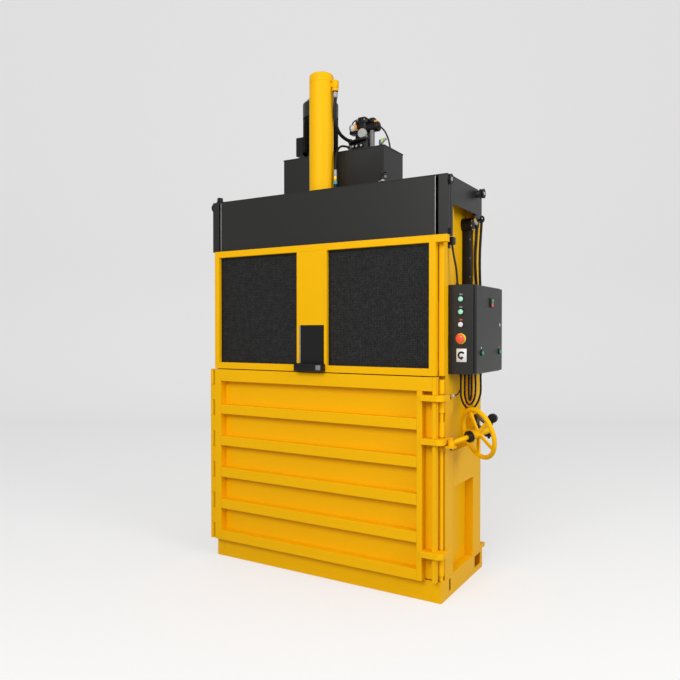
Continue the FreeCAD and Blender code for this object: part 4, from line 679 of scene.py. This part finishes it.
# %% Valve group
COIL_Z = 2.964              # the solenoids' middle line
CAN_Y, CAN_Z = -0.004, COIL_Z + 0.010
valve_parts = [
    soft_block("manifold", black, (0.044, -0.050, 2.792), (0.191, 0.050, 2.882), 0.004),
    soft_block("valve_foot", black, (0.090, -0.040, 2.880), (0.180, 0.040, 2.920), 0.006),
    soft_block("valve_body", black, (0.098, -0.035, 2.905), (0.168, 0.035, 3.022), 0.005),
    soft_block("valve_cap", black, (0.104, -0.030, 3.018), (0.162, 0.030, 3.038), 0.006),
    soft_block("valve_cheek", black, (0.088, -0.038, 2.990), (0.182, 0.020, 3.026), 0.009),
    turned("bright_can", white, [(0.026, 0), (0.0285, 0.003), (0.0285, 0.032), (0.026, 0.034)],
           (0.080, CAN_Y, CAN_Z), LEFT, 36),
    turned("orange_band", orange, [(0.029, 0), (0.030, 0.003), (0.030, 0.018)],
           (0.098, CAN_Y, CAN_Z), LEFT, 36),
    turned("can_end", black, [(0.029, 0), (0.029, 0.006), (0.022, 0.010), (0, 0.011)],
           (0.047, CAN_Y, CAN_Z), LEFT, 36),
    soft_block("can_cradle", black, (0.040, -0.033, 2.930), (0.096, 0.024, 2.952), 0.006),
    turned("pale_cap", pale_grey, [(0.030, 0), (0.0312, 0.004), (0.0312, 0.020), (0.029, 0.0235),
                                   (0, 0.024)], (0.150, -0.035, 2.920), FRONT, 40),
]
RIM, DIP, PITCH = 0.033, 0.030, 0.014       # the coil's two radii and its ribs' spacing
ribs = [(RIM, 0)]
for h in 0.010 + PITCH * np.arange(5):
    ribs += [(RIM, h), (DIP, h + 0.002), (DIP, h + 0.005), (RIM, h + 0.007)]
ribs += [(RIM, 0.080), (DIP, 0.084)]
can_lead_path = [(0.052 + 0.046 * (1 - math.cos(a)) * 0.9, -0.018,
                  COIL_Z + 0.022 + 0.040 * math.sin(a)) for a in np.linspace(0.0, 2.4, 15)]
pipe_path = [(0.070 + 0.11 * s, -0.062 - 0.006 * math.sin(math.pi * s), 2.868 + 0.012 * s)
             for s in np.linspace(0, 1, 12)]
valve_parts += [
    turned("dark_coil", black, ribs, (0.168, 0, COIL_Z), RIGHT, 36),
    soft_block("coil_plug", black, (0.186, -0.022, 2.992), (0.224, 0.020, 3.024), 0.006),
    soft_block("coil_light", orange, (0.226, -0.026, 2.988), (0.246, 0.004, 3.002), 0.003),
    soft_block("pipe_leg", grey_plate, (0.200, -0.034, 2.792), (0.224, -0.004, 2.938), 0.006),
    swept("can_lead", black, can_lead_path, 0.0042, BACK),
]
for number, x in enumerate((0.082, 0.112, 0.146)):
    valve_parts += [
        hex_head(f"plug_{number}", black, (x, -0.050, 2.838), FRONT, 0.0165, 0.008),
        stub(f"plug_face_{number}", silver, (x, -0.0578, 2.838), FRONT, 0.0075, 0.002, 20)]
for x, z in ((0.106, 3.014), (0.160, 3.014), (0.106, 2.950), (0.180, 2.898)):
    valve_parts.append(hex_head(f"valve_bolt_{x}_{z}", steel, (x, -0.036, z), FRONT, 0.006, 0.005))
valve_parts.append(swept("manifold_pipe", black, pipe_path, 0.010, UP))
place(joined("valve_group", valve_parts), "frame", "dark_paint", "valve_block")

plug_parts = [
    hex_head("plug_base", black, (0.332, -0.112, 2.792), UP, 0.014, 0.010),
    soft_block("plug_elbow", blue, (0.312, -0.124, 2.800), (0.332, -0.100, 2.836), 0.007),
    soft_block("plug_band", lime, (0.329, -0.126, 2.812), (0.341, -0.098, 2.842), 0.004),
    turned("plug_sleeve", silver, [(0.011, 0), (0.011, 0.012), (0.0085, 0.014), (0.0085, 0.026)],
           (0.338, -0.112, 2.828), (1, 0, 0.35), 24),
]
place(joined("tank_plug", plug_parts), "frame", "dark_paint")

tap_parts = [
    turned("tap_body", black, [(0.011, 0), (0.012, 0.010), (0.012, 0.030), (0.009, 0.034),
                               (0.009, 0.054), (0, 0.056)], (0.3560, -0.1500, 2.560), UP, 24),
    hex_head("tap_nut", silver, (0.3560, -0.1500, 2.556), UP, 0.014, 0.010),
    soft_block("tap_lever", black, (0.350, -0.156, 2.606), (0.384, -0.144, 2.614), 0.003),
    hex_head("tap_union", silver, (0.3640, -0.1440, 2.584), RIGHT, 0.009, 0.012),
]
place(joined("tank_tap", tap_parts), "frame", "dark_paint")
print("valve parts:", len(valve_parts) + len(plug_parts) + len(tap_parts))

# %% [markdown]
# ## The control cabinet
# Three push buttons with black bezels and domed lenses sit above a mushroom stop button on its
# yellow collar. The pale plate below carries a plain turning arrow. On the door are a rocker
# switch, two lamps and a small lock.


# %% Cabinet controls
CABINET_FRONT, DOOR_FACE = -0.265, 1.021    # the planes that carry the controls, in Y and in X
BUTTON_X, STOP_Z, LAMP_Z = 0.929, 1.547, 1.462
PRINT_LIFT = 0.0002                         # how far a printed mark stands in front


def push_button(name, x, z, lens):
    """A bezel with a domed lens, both revolves round the cabinet front's normal."""
    spot = (x, CABINET_FRONT, z)
    bezel = turned(name + "_bezel", black, [(0.0195, 0), (0.0195, 0.003), (0.0175, 0.006)], spot,
                   FRONT, 36)
    dome = turned(name + "_lens", lens, [(0.0148, 0.004), (0.0148, 0.0085), (0.0125, 0.0112),
                                         (0.0065, 0.0122), (0, 0.0124)], spot, FRONT, 36)
    return [bezel, dome]


def mark(name, centre, size, axis, material):
    """A small flat print, half a millimetre thick, in front of its panel."""
    centre, size = np.array(centre), np.array(size)
    half = size / 2
    half[axis] = 0.00025
    return soft_block(name, material, centre - half, centre + half, 0.0002, 2)


controls = []
for name, z, lens in (("button_up", 1.779, mint), ("button_down", 1.7045, mint),
                      ("button_stop", 1.630, white)):
    controls += push_button(name, BUTTON_X, z, lens)
    tone = red if name == "button_stop" else pale_grey
    controls += [mark(f"{name}_mark_{k}", (BUTTON_X + 0.010 * (k - 0.5),
                                           CABINET_FRONT - PRINT_LIFT, z + 0.028),
                      (0.006, 0, 0.008), 1, tone) for k in (0, 1)]
controls += [
    turned("stop_collar", collar_yellow, [(0.031, 0), (0.0315, 0.003), (0.029, 0.006)],
           (BUTTON_X, CABINET_FRONT, STOP_Z), FRONT, 48),
    stub("stop_neck", black, (BUTTON_X, CABINET_FRONT - 0.006, STOP_Z), FRONT, 0.014, 0.012, 32),
    turned("stop_mushroom", red, [(0.021, 0), (0.0255, 0.002), (0.0262, 0.005), (0.023, 0.009),
                                  (0.014, 0.0115), (0, 0.0125)],
           (BUTTON_X, CABINET_FRONT - 0.013, STOP_Z), FRONT, 48),
]


def turn_arrow(name, finish, centre, radius, width, thick):
    """A ribbon round a circle: its width is even, then widens and closes to a point."""
    neck, barb, tip, start, sweep = 0.80, 2.3, 0.0002, 35, 285
    s = np.concatenate([np.linspace(0, neck, 25), [neck + 0.0001, 1.0]])
    half = np.interp(s, [0, neck, neck + 0.0001, 1.0], [width, width, barb * width, tip]) / 2
    angle = math.radians(start) + s * math.radians(sweep)
    across = np.stack([radius - half, radius + half, radius + half, radius - half])
    deep = np.array([0, 0, thick, thick])[:, None] + 0 * across
    points = np.stack([centre[0] + across * np.cos(angle), centre[1] - deep,
                       centre[2] + across * np.sin(angle)], axis=-1)
    count = len(s)
    faces = grid_faces(4, count, wrap_rows=True)
    faces += [[k * count for k in range(4)], [k * count + count - 1 for k in range(4)]]
    return mesh_object(name, finish, points.reshape(-1, 3), faces)


PLATE = np.array([0.9335, CABINET_FRONT, 1.4495])
controls += [
    soft_block("arrow_plate", white, PLATE - (0.031, 0.0015, 0.039),
               PLATE + (0.031, 0.0002, 0.039), 0.0008, 2),
    turn_arrow("turn_arrow", black, PLATE - (0, 0.0013, 0), 0.0180, 0.0115, 0.0008),
]


def door_lamp(name, y, z, lens, tone):
    """A lamp on the cabinet door: a black bezel, a domed lens and a small mark above it."""
    spot = (DOOR_FACE, y, z)
    return [
        turned(name + "_bezel", black, [(0.0175, 0), (0.0175, 0.004), (0.0155, 0.007)], spot,
               RIGHT, 32),
        turned(name + "_lens", lens, [(0.0125, 0.005), (0.0125, 0.010), (0.008, 0.0125),
                                      (0, 0.0135)], spot, RIGHT, 32),
        mark(name + "_mark", (DOOR_FACE + PRINT_LIFT, y, z + 0.030), (0, 0.012, 0.010), 0,
             tone)]


controls += door_lamp("lamp_front", -0.167, LAMP_Z, green, white)
controls += door_lamp("lamp_rear", 0.172, LAMP_Z, green, red)
controls += [
    soft_block("rocker_frame", black, (1.0208, -0.016, 1.735), (1.028, 0.036, 1.793), 0.003),
    soft_block("rocker_on", green, (1.026, 0.002, 1.766), (1.033, 0.029, 1.787), 0.002),
    soft_block("rocker_off", red, (1.026, 0.002, 1.740), (1.031, 0.029, 1.763), 0.002),
    turned("door_lock", silver, [(0.012, 0), (0.012, 0.003), (0.010, 0.005)],
           (DOOR_FACE, 0.181, 1.630), RIGHT, 28),
    soft_block("key_slot", black, (1.0255, 0.1795, 1.624), (1.0268, 0.1825, 1.636), 0.0005, 2),
]
place(joined("cabinet_control_set", controls), "frame", "dark_paint", "cabinet_controls")


def cable_gland(name, x, y, base, up):
    """A gland: a hexagonal foot, then a domed nut down to the cable."""
    foot = hex_head(name + "_foot", black, (x, y, base), (0, 0, up), 0.0105, 0.006)
    length = 0.024 if up < 0 else 0.012
    dome = turned(name + "_dome", black, [(0.0088, 0.004), (0.0088, 0.6 * length),
                                          (0.0065, length)], (x, y, base), (0, 0, up), 20)
    return [foot, dome]


CABINET_BOTTOM, CABINET_TOP = 1.337, 1.865
LOOP_ENDS = ((0.898, -0.176), (0.940, 0.056), (0.905, -0.128), (0.918, 0.022), (0.914, -0.084),
             (0.898, 0.006), (0.878, -0.126))
LEAD_ENDS = ((0.862, 0.203), (0.884, 0.210), (0.900, -0.247))
glands = []
for x, y in LOOP_ENDS:
    glands += cable_gland(f"gland_{x}_{y}", x, y, CABINET_BOTTOM, -1)
for x, y in LEAD_ENDS:
    glands += cable_gland(f"gland_top_{x}", x, y, CABINET_TOP, 1)
place(joined("cable_gland_set", glands), "frame", "rubber", "cable_glands")
print("control parts:", len(controls), "gland parts:", len(glands))

# %% [markdown]
# ## Lift gear, switch and sensor
# Thin cables run over grooved wheels at the head's corners and carry the feed door. The wheels
# are revolves with a groove and a pale bearing, the drum at the side has bolt heads, and a
# limit switch and a barrel sensor watch the two doors.


# %% Lift gear
def grooved_wheel(name, spot, width, radius):
    """A pulley along +X or -X: a rim with a V groove and a dished face."""
    side = math.copysign(1, spot[0])
    h = width / 2
    return turned(name, black, [(radius, 0), (radius, 0.22 * width), (0.86 * radius, h),
                                (radius, 0.78 * width), (0.98 * radius, width),
                                (0.72 * radius, width), (0.66 * radius, 0.9 * width)], spot,
                  (side, 0, 0), 48)


FRONT_Y, FRONT_Z, REAR_Y, REAR_Z, LIFT_RADIUS = -0.336, 2.469, 0.135, 2.466, 0.0309
gear = []
for side in (-1, 1):
    front, rear = (side * 0.888, FRONT_Y, FRONT_Z), (side * 0.908, REAR_Y, REAR_Z)
    gear += [
        grooved_wheel(f"front_wheel_{side}", front, 0.012, LIFT_RADIUS),
        turned(f"front_bearing_{side}", pale_grey, [(0.0125, 0), (0.0125, 0.013),
                                                    (0.0095, 0.0145)], front, (side, 0, 0), 28),
        hex_head(f"front_bolt_{side}", steel, (side * 0.8975, FRONT_Y, FRONT_Z), (side, 0, 0),
                 0.0055, 0.0065),
        stub(f"front_boss_{side}", black, (side * 0.885, FRONT_Y, FRONT_Z), (side, 0, 0), 0.014,
             0.0035, 28),
        grooved_wheel(f"rear_wheel_{side}", rear, 0.026, LIFT_RADIUS),
        turned(f"rear_boss_{side}", dark, [(0.023, 0), (0.023, 0.016), (0.018, 0.0235)],
               (side * 0.8852, REAR_Y, REAR_Z), (side, 0, 0), 32),
        turned(f"rear_bearing_{side}", pale_grey, [(0.0115, 0), (0.0115, 0.003), (0.008, 0.005)],
               (side * 0.9335, REAR_Y, REAR_Z), (side, 0, 0), 28)]


def lobed_knob(name, finish, x, y, profile, radius=0.019, lobe=0.0016, lobes=12, steps=72):
    """A grip knob: r(a) = f (radius + lobe cos(lobes a)), f being the profile's share at z."""
    a = np.linspace(0, 2 * np.pi, steps, endpoint=False)
    r = radius + lobe * np.cos(lobes * a)
    points = [np.stack([x + f * r * np.cos(a), y + f * r * np.sin(a), np.full(steps, z)], axis=-1)
              for f, z in profile]
    last = (len(profile) - 1) * steps
    faces = grid_faces(len(profile), steps, wrap_columns=True)
    faces += [list(range(steps)), list(range(last, last + steps))]
    return mesh_object(name, finish, np.concatenate(points), faces)


gear += [
    lobed_knob("stand_knob", black, -0.878, -0.300, ((0.01, 2.521), (1, 2.521), (1, 2.543),
                                                     (0.9, 2.5468), (0.01, 2.5468))),
    soft_block("stand_block", black, (-0.901, -0.317, 2.500), (-0.850, -0.283, 2.522), 0.005),
]
place(joined("lift_wheel_set", gear), "frame", "dark_paint", "lift_pulleys")

DRUM = (0.856, 0.1295, 2.275)
BOLTS, BOLT_CIRCLE, FIRST_BOLT = 6, 0.0325, 20
drum_parts = [turned("drum_cap", black, [(0.038, 0), (0.038, 0.003), (0.030, 0.008),
                                         (0.012, 0.009)], DRUM, RIGHT, 40)]
for number in range(BOLTS):
    a = math.radians(360 / BOLTS * number + FIRST_BOLT)
    drum_parts.append(hex_head(f"drum_bolt_{number}", steel, (DRUM[0] + 0.003,
                                                              DRUM[1] + BOLT_CIRCLE * math.cos(a),
                                                              DRUM[2] + BOLT_CIRCLE * math.sin(a)),
                               RIGHT, 0.0055, 0.005))
for number, z in enumerate((2.180, 2.060, 1.940)):
    drum_parts.append(turned(f"strip_rivet_{number}", steel, [(0.006, 0), (0.005, 0.002),
                                                              (0, 0.003)], (0.8438, 0.126, z),
                             RIGHT, 20))
place(joined("drum_fastenings", drum_parts), "frame", "dark_paint")

PIPE = (0.0, 0.085, -0.037)                 # the union's direction: back and a little down
junction_parts = [
    hex_head("junction_nut", brass, (0.866, 0.112, 2.312), PIPE, 0.0165, 0.026),
    turned("junction_sleeve", silver, [(0.0125, 0), (0.0145, 0.006), (0.0125, 0.010),
                                       (0.0145, 0.016), (0.0125, 0.024)], (0.866, 0.136, 2.3016),
           PIPE, 24),
    hex_head("junction_union", pale_grey, (0.866, 0.158, 2.292), PIPE, 0.0155, 0.018),
    soft_block("junction_elbow", black, (0.850, 0.172, 2.262), (0.874, 0.222, 2.296), 0.010),
    ring_tube("hose_eye", black, (0.877, 0.268, 2.328), (1, -0.25, 0), 0.0165, 0.0062),
    soft_block("eye_foot", black, (0.8532, 0.255, 2.314), (0.879, 0.282, 2.330), 0.006),
]
place(joined("junction_set", junction_parts), "frame", "dark_paint", "cable_junction")

SENSOR_X, SENSOR_Z = 0.866, 1.205           # the barrel sensor's middle line, along Y
sensor_parts = [
    soft_block("switch_mount", black, (0.850, -0.293, 2.082), (0.856, -0.243, 2.148), 0.0015),
    soft_block("switch_case", black, (0.856, -0.287, 2.100), (0.886, -0.243, 2.146), 0.004),
    soft_block("switch_lid", dark, (0.885, -0.284, 2.103), (0.890, -0.246, 2.143), 0.002),
    soft_block("sensor_mount", black, (0.850, -0.265, 1.188), (0.8665, -0.253, 1.216), 0.002),
    turned("sensor_nose", black, [(0.0085, 0), (0.0095, 0.003), (0.0095, 0.022)],
           (SENSOR_X, -0.305, SENSOR_Z), BACK, 24),
    stub("sensor_band", orange, (SENSOR_X, -0.283, SENSOR_Z), BACK, 0.0088, 0.032),
    ferrule("sensor_thread", silver, (SENSOR_X, -0.251, SENSOR_Z), BACK, 0.0088, 0.040, 5),
    hex_head("sensor_nut", white, (SENSOR_X, -0.240, SENSOR_Z), BACK, 0.0115, 0.008),
    turned("sensor_tail", black, [(0.0070, 0), (0.0062, 0.030), (0.0045, 0.0385), (0, 0.039)],
           (SENSOR_X, -0.211, SENSOR_Z), BACK, 20),
]
place(joined("sensor_set", sensor_parts), "frame", "dark_paint", "position_sensors")
print("gear parts:", len(gear), "sensor parts:", len(sensor_parts))

# %% [markdown]
# ## Small trim
# A handle box with a grey square closes the feed door and a pale edge runs down its latch plate.
# Black strips paint the shade on the upper and left edges of both windows. A pale strip down each
# side of the head's front panel paints a highlight, and a black plate paints the shade in the slot
# in which the feed door's brackets rise.

# %% Trim
handle = joined("feed_handle_set", [
    soft_block("handle_box", black, (-0.126, -0.4625, 1.335), (0.086, -0.4140, 1.385), 0.004),
    soft_block("handle_square", handle_grey, (0.044, -0.4645, 1.346), (0.078, -0.4615, 1.376),
               0.001),
])
place(handle, "feed_door", "dark_paint", "feed_handle")
edge = soft_block("latch_edge", pale_grey, (-0.1095, -0.4150, 1.386), (-0.1045, -0.4075, 1.630),
                  0.001)
place(edge, "feed_door", "steel")

WINDOWS = ((-0.790, -0.134), (0.094, 0.790))
SILL, LINTEL, STRIP_FRONT, STRIP_BACK = 1.374, 2.090, -0.3895, -0.3856
# Painted shade: black strips where the window frames' shadow falls on the upper and left edges.
shade = []
for number, (left, right) in enumerate(WINDOWS):
    shade += [
        soft_block(f"top_shade_{number}", black, (left, STRIP_FRONT, LINTEL),
                   (right, STRIP_BACK, LINTEL + 0.012), 0.001),
        soft_block(f"left_shade_{number}", black, (left, STRIP_FRONT, SILL),
                   (left + 0.010, STRIP_BACK, LINTEL), 0.001)]
place(joined("window_painted_shade", shade), "feed_door", "dark_paint")

# A black plate behind the slot paints the slot's shade, and a pale strip down each side of the
# front panel paints the highlight on the channel's lip.
seams = [soft_block("slot_painted_shade", black, (0.752, -0.3050, 2.149), (0.829, -0.3028, 2.494), 0.0005,
                    2)]
for side in (-1, 1):
    near, far = sorted((side * 0.8080, side * 0.8118))
    seams.append(soft_block(f"panel_edge_highlight_{side}", pale_grey, (near, -0.3696, 2.152),
                            (far, -0.3684, 2.492), 0.0004, 2))
place(joined("head_seam_painted_light", seams), "frame", "dark_paint")
print("trim parts:", len(shade) + len(seams) + 3)

# %% [markdown]
# ## Floor, backdrop and light
# A studio shot of a machine stands on a seamless pale sheet that curves up behind it. The light
# is large and soft: a broad one in front, a second one from the right, and an even sky.


# %% Stage
PAPER_GLOW, SKY_STRENGTH = 0.50, 0.52


def studio_sheet():
    """A floor that turns up into a wall: a flat run, a quarter circle and a straight rise."""
    bend, back, front, rise, wide = 3.0, 7.0, -9.0, 9.0, 16.0
    arc = np.linspace(0, np.pi / 2, 24)
    depth = np.concatenate([[front], back + bend * np.sin(arc), [back + bend]])
    height = np.concatenate([[0], bend - bend * np.cos(arc), [rise]])
    side = np.linspace(-wide, wide, 9)
    s, d = np.meshgrid(side, np.arange(len(depth)), indexing="ij")
    x = s * math.cos(CAMERA_TURN) - depth[d] * math.sin(CAMERA_TURN)
    y = s * math.sin(CAMERA_TURN) + depth[d] * math.cos(CAMERA_TURN)
    points = np.stack([x, y, height[d]], axis=-1)
    material, tree, shader = new_material("studio_paper")
    shader.inputs["Base Color"].default_value = (0.44, 0.44, 0.44, 1)
    shader.inputs["Roughness"].default_value = 0.9
    shader.inputs["Specular IOR Level"].default_value = 0.0
    ray = tree.nodes.new("ShaderNodeLightPath")
    seen = math_node(tree, "MAXIMUM", ray.outputs["Is Camera Ray"], ray.outputs["Is Glossy Ray"])
    shader.inputs["Emission Color"].default_value = (1, 1, 1, 1)
    glow = math_node(tree, "MULTIPLY", seen, PAPER_GLOW)
    tree.links.new(glow, shader.inputs["Emission Strength"])
    piece = mesh_object("studio_sheet", material, points.reshape(-1, 3),
                        grid_faces(*points.shape[:2]))
    return piece


studio_sheet()


def softbox(name, spot, aim, size, power):
    """A large area light at a spot, turned towards its aim."""
    data = bpy.data.lights.new(name, "AREA")
    data.shape = "RECTANGLE"
    data.size, data.size_y = size
    data.energy = power
    lamp = bpy.data.objects.new(name, data)
    lamp.location = spot
    lamp.rotation_euler = (Vector(aim) - Vector(spot)).to_track_quat("-Z", "Y").to_euler()
    bpy.context.scene.collection.objects.link(lamp)
    return lamp


softbox("front_light", spot=(1.0, -6.6, 4.6), aim=(0, 0, 1.7), size=(4.0, 3.0), power=285)
softbox("side_light", spot=(6.5, -1.5, 3.6), aim=(0.5, 0, 1.4), size=(3.0, 4.0), power=190)
world = bpy.data.worlds.new("studio_air")
bpy.context.scene.world = world
world.use_nodes = True
sky = world.node_tree.nodes["Background"]
sky.inputs["Color"].default_value = (1, 1, 1, 1)
sky.inputs["Strength"].default_value = SKY_STRENGTH
bpy.context.scene.view_settings.view_transform = "Standard"
